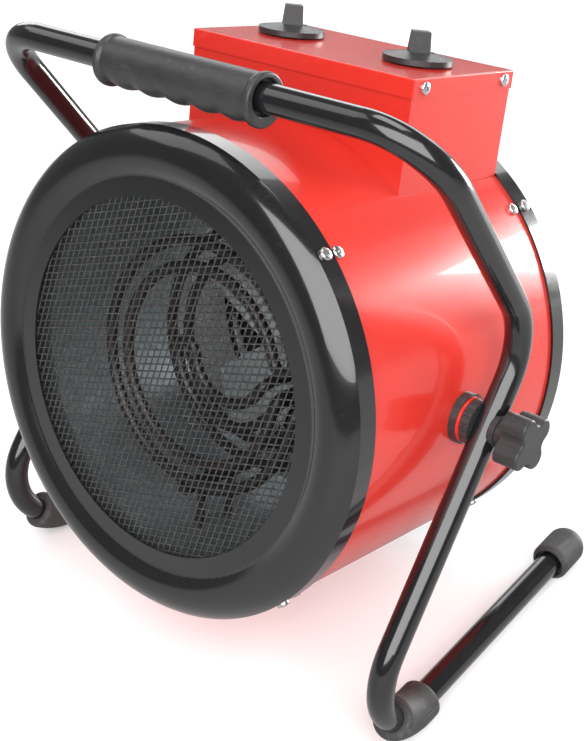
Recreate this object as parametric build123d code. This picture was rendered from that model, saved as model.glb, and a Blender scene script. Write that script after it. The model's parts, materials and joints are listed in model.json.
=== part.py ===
from build123d import *
from math import asin, cos, degrees, pi, radians, sin, sqrt, tan
import os

# Forced air heater: a sheet steel drum with a guard ring and mesh at each end, slung on
# two clamp pivots in a stand bent from one tube. Millimetres, +Z up, floor at Z = 0, air
# blows towards -Y. The origin is below the middle of the whole heater.

# ---- Driving dimensions ----------------------------------------------------------------
# Stand tube
TUBE_D = 18.0                  # outside diameter
TUBE_WALL = 1.5
BEND_R = 45.0                  # centreline radius of every bend
DRUM_OVER_SKID = 28.8          # drum above the centreline of the skids
SHOULDER_ABOVE_PIVOT = 49.7    # rear bend of the side, above the pivot
HANDLE_OVER_LID = 5.0          # grip's axis above the lid when the drum is level
LEG_ANGLE = 49.4               # leg to the floor, degrees
ARM_ANGLE = 55.7               # arm to the floor, degrees
TUBE_OFF_DRUM = 18.5           # centreline beside the drum, at handle and shoulders
TOE_SPREAD = 3.0               # front bends stand wider than that
HEEL_INSET = 12.0              # rear ends stand closer
HEEL_REACH = 150.0             # rear tube ends behind the pivot

# Rubber feet and hand grip
FOOT_D = 29.4
FOOT_FLAT = 0.5                # depth of the flat worn on each foot
FOOT_LIP = 3.5                 # rounding of the feet's ends
TOE_WRAP = 44.0                # front foot round the bend, degrees
TOE_RUN = 8.0                  # front foot along the skid
HEEL_LENGTH = 38.0             # rear foot from mouth to tip
HEEL_FLOOR = 4.0               # rubber behind the end of the tube
MOUTH_GAP = 2.4                # flared mouth around the tube
MOUTH_DEPTH = 4.0
GRIP_LENGTH = 131.0
GRIP_D = 28.6
GRIP_DROP = 1.0                # grip's centre below the tube's
GRIP_RIM_D = 32.8
GRIP_RIM_DROP = 1.8
GRIP_RIM_WIDTH = 3.6
FINGERS = 5                    # finger swells under the grip
FINGER_PITCH = 23.2
FINGER_SWELL = 1.0

# Drum, its guard rings and their mesh
DRUM_D = 325.0
DRUM_SHEET = 1.2
DRUM_TILT = 12.0               # front raised at rest, degrees
DRUM_BELOW_PIVOT = 3.4         # drum axis below the pivot axis
FRONT_CREASE = 111.7           # front ring crease ahead of the pivot
BOX_TO_RING = 0.8              # control box ahead of the rear ring's skirt
RING_SHEET = 1.6
RING_SKIRT = 14.6              # skirt of the ring, over the drum
ROLL_R = 21.0                  # convex roll of the ring
ROLL_RIM = 18.0                # roll centre inside the skirt's outside
FLANGE_WIDTH = 13.3            # flat flange from the roll to the opening
FLANGE_SINK = 4.4              # flat inner flange behind the top of the roll
VALLEY_R = 4.0                 # fillet between roll and flange
DRUM_INSET = 3.0               # drum edge behind the crease
MESH_SHEET = 1.2
MESH_MARGIN = 9.0              # mesh disc under the flange
MESH_STRAND = 1.7
MESH_LONG = 26.6               # long way of a rhombic opening, a coarse stand-in
MESH_SHORT = 14.4
MESH_BLUNT = 0.84              # share of an opening's long way left by its blunt ends
REAR_MESH_SCALE = 1.45         # the rear mesh is drawn coarser again
MESH_SLANT = 46.0              # long way to the floor, degrees

# Inner duct, heating elements and their carrier
LINER_D = 256.0
LINER_SHEET = 1.0
LINER_FRONT = 97.0             # front baffle ahead of the pivot
LINER_REAR = 45.0              # rear edge behind the pivot
BAFFLE_RIM = 12.0
ELEMENT_D = 8.0
WIDE_RING_R = 86.0             # each element is a hairpin rolled into a ring
NARROW_RING_R = 50.0           # the middle one, a little over half a ring
HAIRPIN_GAP = 17.0             # its return turn inside the outer turn
ELEMENT_FRONT = 76.0           # front ring ahead of the pivot
ELEMENT_PITCH = 30.0           # between the planes of the rings
WIDE_HOOK = 22.0               # where the hairpin turns back, degrees
NARROW_HOOK = 192.0
ELEMENT_TAILS = {"front": -6.0, "middle": -30.0, "rear": -18.0}  # where the ends leave the ring
ELEMENT_BEND = 9.0
ELEMENT_END = 8.0              # ends behind the carrier
CARRIER_X = 24.0               # inner edge of the plate that carries the tails
CARRIER_Y = 10.0
CARRIER_DROP = 8.0             # its middle below the drum axis
CARRIER_HEIGHT = 50.0
CARRIER_SHEET = 1.5
CARRIER_TAB = 12.0
CARRIER_SCREW_SPAN = 30.0
STAY_WIDTH = 9.0               # bar that the rings rest on
STAY_THICK = 6.0
STAY_OVERHANG = 7.0            # beyond the first and the last ring
POST_D = 6.0
CUTOUT_D = 17.0
CUTOUT_HEIGHT = 7.0
CUTOUT_X = 104.0

# Fan and motor
FAN_D = 236.0
FAN_TO_MOTOR = 19.0            # middle of the blades ahead of the motor
FAN_BLADES = 4
FAN_TURN = 54.0                # first blade at rest, degrees
BLADE_SHEET = 1.6
BLADE_ROOT = 58.0              # blade width at the hub
BLADE_TIP = 93.0
BLADE_SWEEP = 20.0             # root ahead of the tip, degrees
ROOT_PITCH = 34.0              # blade angle, degrees
TIP_PITCH = 18.0
HUB_D = 42.0
HUB_LENGTH = 22.0
SHAFT_D = 8.0
MOTOR_D = 84.0
MOTOR_LENGTH = 46.0
SPIDER_SHEET = 2.0
SPIDER_ARM = 16.0
SPIDER_TAB = 13.0
SPIDER_LIP = 1.5               # tab behind its screws, beyond the half of its length

# Control box on top of the drum
BOX_WIDTH = 187.6
BOX_DEPTH = 113.6
BOX_Y = 50.0                   # box centre behind the pivot
BOX_SHEET = 1.0
BOX_FLANGE = 11.0              # inward flange along the saddle
LID_ABOVE_DRUM = 43.7          # lid above the top of the drum
LID_SKIRT = 12.2
LID_SHEET = 1.0
LID_SCREW_SPAN = 92.0
DIAL_FROM_SIDE = 38.8          # dial's axis inside the side of the box
DIAL_D = 47.0
DIAL_RIM = 3.6
DIAL_CONE = 2.8
DIAL_LIFT = 1.2                # dial above the lid
HOLD_LENGTH = 12.0             # finger hold of the dial
HOLD_WIDTH = 9.5
HOLD_HEIGHT = 13.5
HOLD_TURN = 45.0               # finger hold in plan, degrees
SPINDLE_D = 6.0
BUSH_D = 9.6
SWITCH_SIZE = 34.0
SWITCH_DEPTH = 24.0
SPINDLE_GRIP = 8.0             # spindle inside dial and inside switch
BLOCK_LENGTH = 46.0
BLOCK_ASIDE = 20.0             # block beside the side wall
BLOCK_DEPTH = 16.0
BLOCK_HEIGHT = 18.0
GLAND_D = 20.0
GLAND_BORE = 9.0
GLAND_THREAD = 15.6
GLAND_OUT = 16.5
GLAND_IN = 9.0
GLAND_ABOVE_DRUM = 17.5        # gland above the top of the drum

# Clamp pivots
STUD_D = 8.0
WASHER_D = 34.0                # black washer against the drum
WASHER_THICK = 4.7             # its outer face beyond the side of the drum
DISC_D = 31.0
DISC_THICK = 2.0
SADDLE_D = 30.0                # ribbed inner saddle against the tube
SADDLE_HOLD = 3.0              # how far each saddle wraps the tube
SADDLE_RIBS = 18
COLLAR_D = 21.0                # outer saddle
KNOB_HUB_D = 19.0
KNOB_HUB = 6.5
KNOB_THICK = 17.0
KNOB_SPAN = 41.0
LOBE_WIDTH = 15.5
KNOB_TURN = 20.0               # lobes at rest, degrees
STUD_IN_KNOB = 10.0
NUT_FLATS = 13.0
NUT_THICK = 6.5

# Screws
HEAD_D = 8.5
HEAD_HEIGHT = 2.4
SHANK_D = 3.9
SHANK_LENGTH = 7.0
SCREW_ANGLES = (45, 135, 225, 315)
DRUM_SCREW_OFFSET = 5.6        # drum screws beyond the edge of the skirt

# Clearances
SNUG = 0.1                     # seated parts
SLIP = 0.3                     # parts that slide over each other
RUNNING = 0.05                 # shafts in their bores

# ---- Places worked out from them ------------------------------------------------------
DRUM_R = DRUM_D / 2
DRUM_INSIDE = DRUM_R - DRUM_SHEET
RING_R = DRUM_R + SLIP + RING_SHEET
ROLL_CENTRE_R = RING_R - ROLL_RIM
CREASE_DEPTH = sqrt(ROLL_R ** 2 - ROLL_RIM ** 2)
ROLL_PEAK = ROLL_R - CREASE_DEPTH
FLANGE_FACE = ROLL_PEAK - FLANGE_SINK
ROLL_FOOT_R = ROLL_CENTRE_R - sqrt(ROLL_R ** 2 - (CREASE_DEPTH + FLANGE_FACE) ** 2)
OPENING_R = ROLL_FOOT_R - FLANGE_WIDTH
FRONT_SKIRT = -(FRONT_CREASE - RING_SKIRT)
REAR_SKIRT = BOX_Y + BOX_DEPTH / 2 + BOX_TO_RING
REAR_CREASE = REAR_SKIRT + RING_SKIRT
SPIDER_BACK = REAR_SKIRT - DRUM_SCREW_OFFSET + SPIDER_TAB / 2 + SPIDER_LIP
MOTOR_FRONT = SPIDER_BACK - SPIDER_SHEET - MOTOR_LENGTH
FAN_Y = MOTOR_FRONT - FAN_TO_MOTOR
DIAL_HALF_SPAN = BOX_WIDTH / 2 - DIAL_FROM_SIDE
ELEMENT_PLANES = {"front": -ELEMENT_FRONT, "middle": ELEMENT_PITCH - ELEMENT_FRONT,
                  "rear": 2 * ELEMENT_PITCH - ELEMENT_FRONT}
ELEMENT_RINGS = {"front": WIDE_RING_R, "middle": NARROW_RING_R, "rear": WIDE_RING_R}
ELEMENT_HOOKS = {"front": WIDE_HOOK, "middle": NARROW_HOOK, "rear": WIDE_HOOK}
LID_TOP = DRUM_R + LID_ABOVE_DRUM
BOX_TOP = LID_TOP - LID_SHEET
GLAND_Z = DRUM_R + GLAND_ABOVE_DRUM
WASHER_FACE = DRUM_R + WASHER_THICK
SHOULDER_HALF = DRUM_R + TUBE_OFF_DRUM
TOE_HALF = SHOULDER_HALF + TOE_SPREAD
HEEL_HALF = SHOULDER_HALF - HEEL_INSET
PIVOT_ABOVE_SKID = DRUM_R + DRUM_OVER_SKID
HANDLE_ABOVE_SHOULDER = LID_TOP + HANDLE_OVER_LID - SHOULDER_ABOVE_PIVOT
TILT = radians(DRUM_TILT)
SKID_Z = FOOT_D / 2 - FOOT_FLAT
PIVOT_Z = SKID_Z + PIVOT_ABOVE_SKID


def ring_reach(crease):
    """How far a guard ring reaches from the pivot along the floor at the rest tilt."""
    return (crease - CREASE_DEPTH) * cos(TILT) + ROLL_CENTRE_R * sin(TILT) + ROLL_R


PIVOT_Y = (ring_reach(FRONT_CREASE) - ring_reach(REAR_CREASE)) / 2 + DRUM_BELOW_PIVOT * sin(TILT)


def to_drum(shape):
    """Tilt a shape modelled about the drum axis and hang it on the pivot."""
    return Pos(0, PIVOT_Y, PIVOT_Z) * Rot(-DRUM_TILT, 0, 0) * Pos(0, 0, -DRUM_BELOW_PIVOT) * shape


def save(shape, name):
    os.makedirs("parts", exist_ok=True)
    shape.label = name
    export_step(shape, f"parts/{name}.step")


def along_y(radius, low, high):
    """Round bar on the drum axis from low to high."""
    return extrude(Plane.XZ.offset(-low) * Circle(radius), -(high - low))


def along_x(radius, low, high):
    """Round bar on the pivot axis from low to high."""
    return extrude(Plane.YZ.offset(low) * Circle(radius), high - low)


def turned_on_y(outline):
    """Revolve an outline of (radius, y) lines about the drum axis."""
    return revolve(make_face(outline), Axis.Y)


# ---- Stand ----------------------------------------------------------------------------
def stand_points(side):
    """Corners of one side of the tube's centreline, from handle to heel."""
    leg = tan(radians(LEG_ANGLE))
    shoulder_y = PIVOT_Y + SHOULDER_ABOVE_PIVOT / leg
    shoulder_z = PIVOT_Z + SHOULDER_ABOVE_PIVOT
    handle = Vector(side * SHOULDER_HALF,
                    shoulder_y - HANDLE_ABOVE_SHOULDER / tan(radians(ARM_ANGLE)),
                    shoulder_z + HANDLE_ABOVE_SHOULDER)
    shoulder = Vector(side * SHOULDER_HALF, shoulder_y, shoulder_z)
    toe = Vector(side * TOE_HALF, PIVOT_Y - PIVOT_ABOVE_SKID / leg, SKID_Z)
    heel = Vector(side * HEEL_HALF, PIVOT_Y + HEEL_REACH, SKID_Z)
    return handle, shoulder, toe, heel


def tube_half_at_pivot():
    """Half width over the tube's centreline where the pivot stud crosses it."""
    share = SHOULDER_ABOVE_PIVOT / (SHOULDER_ABOVE_PIVOT + PIVOT_ABOVE_SKID)
    return SHOULDER_HALF + (TOE_HALF - SHOULDER_HALF) * share


def swept_round(path, radius):
    start = Plane(origin=path @ 0, z_dir=path % 0)
    return sweep(start * Circle(radius), path=path)


def leg_bar(side, radius):
    """Straight bar on the leg's centreline, to cut saddles with."""
    _, shoulder, toe, _ = stand_points(side)
    middle = Vector(side * tube_half_at_pivot(), PIVOT_Y, PIVOT_Z)
    down = (toe - shoulder).normalized()
    return extrude(Plane(origin=middle - down * WASHER_D, z_dir=down) * Circle(radius), 2 * WASHER_D)


def make_frame_tube():
    left = stand_points(-1)
    right = stand_points(1)
    centreline = FilletPolyline(*reversed(left), *right, radius=BEND_R)
    tube = swept_round(centreline, TUBE_D / 2) - swept_round(centreline, TUBE_D / 2 - TUBE_WALL)
    cross = Pos(0, PIVOT_Y, PIVOT_Z) * along_x(STUD_D / 2 + SNUG, -2 * SHOULDER_HALF, 2 * SHOULDER_HALF)
    return tube - cross


def toe_bend():
    """End, centre and axis of the left front bend, with the directions along and up."""
    _, shoulder, toe, heel = stand_points(-1)
    back = (heel - toe).normalized()
    up = (shoulder - toe).normalized()
    half_turn = (pi - radians(back.get_angle(up))) / 2
    end = toe + back * (BEND_R * tan(half_turn))
    centre = toe + (back + up).normalized() * (BEND_R / cos(half_turn))
    return end, Axis(centre, up.cross(back)), back


def toe_bar(radius, wrap, run):
    """Left round bar round wrap degrees of the front bend and run along the skid."""
    end, hinge, back = toe_bend()
    disc = Plane(origin=end, z_dir=back) * Circle(radius)
    bend = revolve(disc, hinge, wrap)
    return bend + extrude(disc, run) if run else bend


def make_front_foot():
    """Left rubber sleeve on the end of the front bend, flared at both mouths."""
    end, hinge, back = toe_bend()
    sleeve = toe_bar(FOOT_D / 2, TOE_WRAP, TOE_RUN)
    rims = [edge for edge in sleeve.edges().filter_by(GeomType.CIRCLE)
            if (edge.arc_center - end).length > 1 and abs(edge.radius - FOOT_D / 2) < 0.01]
    sleeve = fillet(rims, FOOT_LIP)
    sleeve -= toe_bar(TUBE_D / 2 + SNUG, TOE_WRAP + 5, TOE_RUN + 5)
    mouth_turn = degrees(MOUTH_DEPTH / BEND_R)
    front_mouth = toe_bar(TUBE_D / 2 + MOUTH_GAP, mouth_turn + 5, 0)
    sleeve -= front_mouth.rotate(hinge, TOE_WRAP - mouth_turn)
    rear_mouth = extrude(Plane(origin=end, z_dir=back).offset(TOE_RUN - MOUTH_DEPTH) * Circle(
        TUBE_D / 2 + MOUTH_GAP), MOUTH_DEPTH + 5)
    return (sleeve - rear_mouth) & above_floor()


def above_floor():
    return Pos(0, 0, FOOT_D * 2) * Box(4 * SHOULDER_HALF, 4 * SHOULDER_HALF, FOOT_D * 4)


def make_rear_foot():
    """Left rubber cap pushed over the rear end of the tube."""
    _, _, toe, heel = stand_points(-1)
    back = (heel - toe).normalized()
    mouth = heel + back * (HEEL_FLOOR - HEEL_LENGTH)
    outline = Plane(origin=mouth, x_dir=Vector(0, 0, 1), z_dir=Vector(0, 0, 1).cross(back))
    radius = FOOT_D / 2
    dome = radius * 0.8
    edge = Polyline((0, 0), (radius - FOOT_LIP, 0))
    edge += RadiusArc((radius - FOOT_LIP, 0), (radius, FOOT_LIP), -FOOT_LIP)
    edge += Line((radius, FOOT_LIP), (radius, HEEL_LENGTH - dome))
    edge += RadiusArc((radius, HEEL_LENGTH - dome), (radius - dome, HEEL_LENGTH), -dome)
    edge += Polyline((radius - dome, HEEL_LENGTH), (0, HEEL_LENGTH), (0, 0))
    cap = revolve(outline * make_face(edge), Axis(mouth, back))
    across = Plane(origin=mouth, z_dir=back)
    cap -= extrude(across * Circle(TUBE_D / 2 + SNUG), HEEL_LENGTH - HEEL_FLOOR + SNUG)
    cap -= extrude(across * Circle(TUBE_D / 2 + MOUTH_GAP), MOUTH_DEPTH)
    return cap & above_floor()


def make_grip():
    """Moulded grip with a rim at each end and finger swells underneath."""
    half = GRIP_LENGTH / 2
    grip = Pos(0, 0, -GRIP_DROP) * along_x(GRIP_D / 2, -half, half)
    rim = along_x(GRIP_RIM_D / 2, half - GRIP_RIM_WIDTH, half)
    rim = Pos(0, 0, -GRIP_RIM_DROP) * fillet(rim.edges(), GRIP_RIM_WIDTH / 2 - SNUG)
    grip = grip + rim + mirror(rim, Plane.YZ)
    for number in range(FINGERS):
        middle = (number - (FINGERS - 1) / 2) * FINGER_PITCH
        grip += Pos(middle, 0, 0) * finger_swell()
    grip -= along_x(TUBE_D / 2 + SNUG, -half, half)
    for low in (-half, half - MOUTH_DEPTH):
        grip -= along_x(TUBE_D / 2 + MOUTH_GAP, low, low + MOUTH_DEPTH)
    handle, *_ = stand_points(1)
    return Pos(0, handle.Y, handle.Z) * grip


def finger_swell():
    """Barrel that stands out under the grip and stays inside its top."""
    crown = GRIP_D / 2 + FINGER_SWELL
    edge = crown - 2 * FINGER_SWELL
    span = FINGER_PITCH * 0.48
    barrel = ThreePointArc((-span, edge), (0, crown), (span, edge))
    barrel += Polyline(barrel @ 1, (span, 0), (-span, 0), barrel @ 0)
    drop = GRIP_DROP + FINGER_SWELL + SNUG
    return Pos(0, 0, -drop) * revolve(Plane.XZ * make_face(barrel), Axis.X)


# ---- Drum shell, rings, mesh ----------------------------------------------------------
def radial_bar(radius, angle, y, low, high):
    """Round bar pointing out from the drum axis."""
    bar = extrude(Plane.YZ.offset(low) * Circle(radius), high - low)
    return Pos(0, y, 0) * Rot(0, -angle, 0) * bar


def screw_rows():
    """The four rows of body screws: name, y and the radius that their heads rest on."""
    return {
        "front_ring_screws": (FRONT_SKIRT - RING_SKIRT / 2, RING_R),
        "front_drum_screws": (FRONT_SKIRT + DRUM_SCREW_OFFSET, DRUM_R),
        "rear_drum_screws": (REAR_SKIRT - DRUM_SCREW_OFFSET, DRUM_R),
        "rear_ring_screws": (REAR_SKIRT + RING_SKIRT / 2, RING_R),
    }


def cut_screw_holes(shape):
    for y, _ in screw_rows().values():
        for angle in SCREW_ANGLES:
            shape -= radial_bar(SHANK_D / 2 + SNUG, angle, y, DRUM_INSIDE - 20, RING_R + 5)
    return shape


def pivot_bore():
    return Pos(0, 0, DRUM_BELOW_PIVOT) * along_x(STUD_D / 2 + SLIP, -RING_R - 20, RING_R + 20)


def make_drum_shell():
    front = -(FRONT_CREASE - DRUM_INSET)
    rear = REAR_CREASE - DRUM_INSET
    shell = along_y(DRUM_R, front, rear) - along_y(DRUM_INSIDE, front, rear)
    shell = cut_screw_holes(shell) - pivot_bore()
    grommet = Pos(0, BOX_Y, DRUM_R) * Cylinder(GLAND_D / 2, 20)
    return shell - grommet


def make_ring():
    """Guard ring, crease plane at y = 0, facing -Y: skirt, convex roll, valley, flange."""
    crease = (RING_R, 0.0)
    peak = (ROLL_CENTRE_R, -ROLL_PEAK)
    flange_y = -FLANGE_FACE
    roll_y = CREASE_DEPTH
    foot = (ROLL_FOOT_R, flange_y)
    outside = Polyline((RING_R, RING_SKIRT), crease)
    outside += ThreePointArc(crease, peak, foot)
    outside += Line(foot, (OPENING_R, flange_y))
    inner_r = ROLL_R - RING_SHEET
    inner_flange = flange_y + RING_SHEET
    inner_dip = sqrt(inner_r ** 2 - (roll_y - inner_flange) ** 2)
    inner_rise = sqrt(inner_r ** 2 - (ROLL_RIM - RING_SHEET) ** 2)
    skirt_in = RING_R - RING_SHEET
    inside = Polyline((OPENING_R, flange_y), (OPENING_R, inner_flange),
                      (ROLL_CENTRE_R - inner_dip, inner_flange))
    inside += ThreePointArc((ROLL_CENTRE_R - inner_dip, inner_flange),
                            (ROLL_CENTRE_R, roll_y - inner_r), (skirt_in, roll_y - inner_rise))
    inside += Polyline((skirt_in, roll_y - inner_rise), (skirt_in, RING_SKIRT), (RING_R, RING_SKIRT))
    section = make_face(outside + inside)
    valley = section.vertices().sort_by_distance((*foot, 0))[0]
    section = fillet(valley, VALLEY_R)
    return revolve(section, Axis.Y)


def place_front_ring(shape):
    return Pos(0, -FRONT_CREASE, 0) * shape


def place_rear_ring(shape):
    return Pos(0, REAR_CREASE, 0) * Rot(0, 0, 180) * shape


def mesh_gap(long, short):
    """One opening of the expanded metal: a rhombus inside its strands, with blunt ends."""
    half = Vector(long / 2, short / 2)
    inner = half * (1 - MESH_STRAND / 2 * half.length / (half.X * half.Y))
    blunt = inner.X * MESH_BLUNT
    side = inner.Y * (1 - MESH_BLUNT)
    return [(0, inner.Y), (blunt, side), (blunt, -side), (0, -inner.Y), (-blunt, -side), (-blunt, side)]


def make_mesh(scale):
    """Disc of expanded metal behind the flange of a ring, on the ring's own origin."""
    long = MESH_LONG * scale
    short = MESH_SHORT * scale
    disc_r = OPENING_R + MESH_MARGIN
    reach = OPENING_R - MESH_STRAND
    gap = mesh_gap(long, short)
    rows = int(2 * disc_r / short) + 1
    gaps = []
    for row in range(-rows, rows + 1):
        for place in range(-rows, rows + 1):
            x = (place + (row % 2) / 2) * long
            z = row * short / 2
            if all(sqrt((x + px) ** 2 + (z + pz) ** 2) < reach for px, pz in gap):
                gaps.append(Wire.make_polygon([Vector(x + px, z + pz, 0) for px, pz in gap], close=True))
    net = Face(Wire.make_circle(disc_r), gaps)
    sheet = extrude(net, MESH_SHEET)
    back_of_flange = -FLANGE_FACE + RING_SHEET + SNUG
    return Pos(0, back_of_flange + MESH_SHEET, 0) * Rot(90, 0, 0) * Rot(0, 0, MESH_SLANT) * sheet


def make_screw():
    """Pan head screw pointing along -X, the underside of its head at x = 0."""
    head = chamfer(along_x(HEAD_D / 2, 0, HEAD_HEIGHT).edges().sort_by(Axis.X)[-1], HEAD_HEIGHT * 0.45)
    return head + along_x(SHANK_D / 2, -SHANK_LENGTH, 0)


def make_screw_row(y, radius):
    seat = radius + SNUG
    return [Rot(0, -angle, 0) * Pos(seat, y, 0) * make_screw() for angle in SCREW_ANGLES]


# ---- Duct and heating elements --------------------------------------------------------
def make_liner():
    """Inner duct with a front baffle whose rim is screwed to the drum."""
    outer = LINER_D / 2
    rim = DRUM_INSIDE - SNUG
    front = -LINER_FRONT
    sheet = LINER_SHEET
    outline = Polyline(
        (outer, LINER_REAR), (outer - sheet, LINER_REAR), (outer - sheet, front), (rim, front),
        (rim, front + BAFFLE_RIM), (rim - sheet, front + BAFFLE_RIM), (rim - sheet, front + sheet),
        (outer, front + sheet), (outer, LINER_REAR))
    liner = turned_on_y(outline)
    y, _ = screw_rows()["front_drum_screws"]
    for angle in SCREW_ANGLES:
        liner -= radial_bar(SHANK_D / 2 + SNUG, angle, y, rim - 10, rim + 5)
    return cut_duct_holes(liner, outer)


def tab_y():
    """Middle of the carrier's tab, which lies against the duct ahead of the plate."""
    return CARRIER_Y - CARRIER_TAB / 2


def tab_angles():
    """Where round the duct the screws of the carrier's tab are, in degrees."""
    half = CARRIER_SCREW_SPAN / 2
    return [degrees(asin((rise - CARRIER_DROP) / (LINER_D / 2))) for rise in (-half, half)]


def stay_posts():
    """Places along the drum of the posts under the stay, half way between the rings."""
    planes = sorted(ELEMENT_PLANES.values())
    return [(low + high) / 2 for low, high in zip(planes, planes[1:])]


def cut_duct_holes(shape, radius):
    """Holes for the carrier's screws and for the necks of the stay's posts."""
    for angle in tab_angles():
        shape -= radial_bar(SHANK_D / 2 + SNUG, angle, tab_y(), radius - 10, radius + 5)
    for y in stay_posts():
        shape -= radial_bar(SHANK_D / 2 + SNUG, 270, y, radius - 10, radius + 5)
    return shape


def ring_point(radius, angle, y):
    return Vector(radius * cos(radians(angle)), y, radius * sin(radians(angle)))


def element_tail(name, radius):
    """Straight tail and quarter bend that lead into the ring at one radius."""
    angle = ELEMENT_TAILS[name]
    start = ring_point(radius, angle, ELEMENT_PLANES[name])
    way = Vector(sin(radians(angle)), 0, -cos(radians(angle)))
    corner = start - way * ELEMENT_BEND + Vector(0, ELEMENT_BEND, 0)
    end = Vector(corner.X, CARRIER_Y + CARRIER_SHEET + ELEMENT_END, corner.Z)
    return end, corner, start, way


def element_path(name):
    """Hairpin rolled into a ring: tail, outer turn, return bend at the hook, inner turn, tail."""
    y = ELEMENT_PLANES[name]
    hook = ELEMENT_HOOKS[name]
    outer = ELEMENT_RINGS[name]
    inner = outer - HAIRPIN_GAP
    outer_end, outer_corner, outer_start, way = element_tail(name, outer)
    inner_end, inner_corner, inner_start, _ = element_tail(name, inner)
    across = (ELEMENT_TAILS[name] + hook) / 2 + 180
    onward = Vector(sin(radians(hook)), 0, -cos(radians(hook)))
    crown = ring_point((outer + inner) / 2, hook, y) + onward * (HAIRPIN_GAP / 2)
    outer_hook = ring_point(outer, hook, y)
    inner_hook = ring_point(inner, hook, y)
    return Wire([
        Line(outer_end, outer_corner),
        TangentArc(outer_corner, outer_start, tangent=Vector(0, -1, 0)),
        ThreePointArc(outer_start, ring_point(outer, across, y), outer_hook),
        ThreePointArc(outer_hook, crown, inner_hook),
        ThreePointArc(inner_hook, ring_point(inner, across, y), inner_start),
        TangentArc(inner_start, inner_corner, tangent=-way),
        Line(inner_corner, inner_end)])


def make_element(name, radius=ELEMENT_D / 2):
    return swept_round(element_path(name), radius)


def make_carrier():
    """Plate on the side of the duct that the element tails pass through, with a bent tab."""
    reach = LINER_D / 2 - LINER_SHEET - SNUG
    front = CARRIER_Y - CARRIER_TAB
    back = CARRIER_Y + CARRIER_SHEET
    span = LINER_D / 2 - CARRIER_X
    block = Pos(CARRIER_X + span / 2, (front + back) / 2, -CARRIER_DROP) * Box(
        span, back - front, CARRIER_HEIGHT)
    carrier = (along_y(reach, front, back) - along_y(reach - CARRIER_SHEET, front, CARRIER_Y)) & block
    for name, outer in ELEMENT_RINGS.items():
        for radius in (outer, outer - HAIRPIN_GAP):
            _, corner, *_ = element_tail(name, radius)
            carrier -= Pos(corner.X, CARRIER_Y, corner.Z) * Rot(90, 0, 0) * Cylinder(
                ELEMENT_D / 2 + SNUG, 4 * CARRIER_SHEET)
    for angle in tab_angles():
        carrier -= radial_bar(SHANK_D / 2 + SNUG, angle, tab_y(), reach - 10, reach + 5)
    return carrier


def make_element_stay():
    """Grooved bar under the wide rings on two posts that stand on the duct."""
    top = WIDE_RING_R + ELEMENT_D / 2 - STAY_THICK / 2
    front = min(ELEMENT_PLANES.values()) - STAY_OVERHANG
    back = max(ELEMENT_PLANES.values()) + STAY_OVERHANG
    bar = Pos(0, (front + back) / 2, -top - STAY_THICK / 2) * Box(STAY_WIDTH, back - front, STAY_THICK)
    floor = LINER_D / 2 - LINER_SHEET - SNUG
    for y in stay_posts():
        bar += radial_bar(POST_D / 2, 270, y, top + STAY_THICK / 2, floor)
        bar += radial_bar(SHANK_D / 2, 270, y, floor - 1, LINER_D / 2 + 2)
    for name in ELEMENT_PLANES:
        bar -= make_element(name, ELEMENT_D / 2 + SNUG)
    return bar


def make_carrier_screws():
    """Two screws through the carrier's tab into the duct, heads inside."""
    seat = LINER_D / 2 - LINER_SHEET - CARRIER_SHEET - 3 * SNUG
    screw = Rot(0, 180, 0) * make_screw()
    return [Rot(0, -angle, 0) * Pos(seat, tab_y(), 0) * screw for angle in tab_angles()]


def make_cutout():
    """Thermal cut-out on the front of the carrier, between the tails and the duct."""
    body = extrude(Plane.XZ.offset(-CARRIER_Y) * Circle(CUTOUT_D / 2), CUTOUT_HEIGHT)
    cap = extrude(Plane.XZ.offset(-CARRIER_Y + CUTOUT_HEIGHT) * Circle(CUTOUT_D * 0.35), 2)
    return Pos(CUTOUT_X, 0, -CARRIER_DROP) * (body + cap)


# ---- Fan and motor --------------------------------------------------------------------
def make_fan():
    """Twisted blades lofted from the hub to the tip, each root ahead of its tip."""
    hub = along_y(HUB_D / 2, FAN_Y - HUB_LENGTH / 2, FAN_Y + HUB_LENGTH / 2)
    fan = fillet(hub.edges().sort_by(Axis.Y)[0], 5)
    root = Plane.YZ.offset(HUB_D / 2 - 3) * Rot(0, 0, ROOT_PITCH) * Rectangle(BLADE_SHEET, BLADE_ROOT)
    tip = Plane.YZ.offset(FAN_D / 2) * Rot(0, 0, TIP_PITCH) * Rectangle(BLADE_SHEET, BLADE_TIP)
    blade = loft([Rot(0, -BLADE_SWEEP, 0) * root.face(), tip.face()], ruled=True)
    for number in range(FAN_BLADES):
        turn = FAN_TURN + 360 / FAN_BLADES * number
        fan += Pos(0, FAN_Y, 0) * Rot(0, -turn, 0) * blade
    fan &= along_y(FAN_D / 2, FAN_Y - FAN_D / 2, FAN_Y + FAN_D / 2)
    return fan - along_y(SHAFT_D / 2 + SNUG / 2, FAN_Y - HUB_LENGTH / 2 + 3, FAN_Y + HUB_LENGTH)


def make_shaft():
    return along_y(SHAFT_D / 2, FAN_Y - HUB_LENGTH / 2 + 3 + SNUG, MOTOR_FRONT + MOTOR_LENGTH - 4)


def make_motor():
    """Motor body with end bells, bored for its shaft."""
    body = along_y(MOTOR_D / 2, MOTOR_FRONT, MOTOR_FRONT + MOTOR_LENGTH)
    body = fillet(body.edges(), 6)
    body += along_y(SHAFT_D, MOTOR_FRONT - 3, MOTOR_FRONT + 5)
    return body - along_y(SHAFT_D / 2 + RUNNING, MOTOR_FRONT - 5, MOTOR_FRONT + MOTOR_LENGTH - 4 + SNUG)


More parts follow.
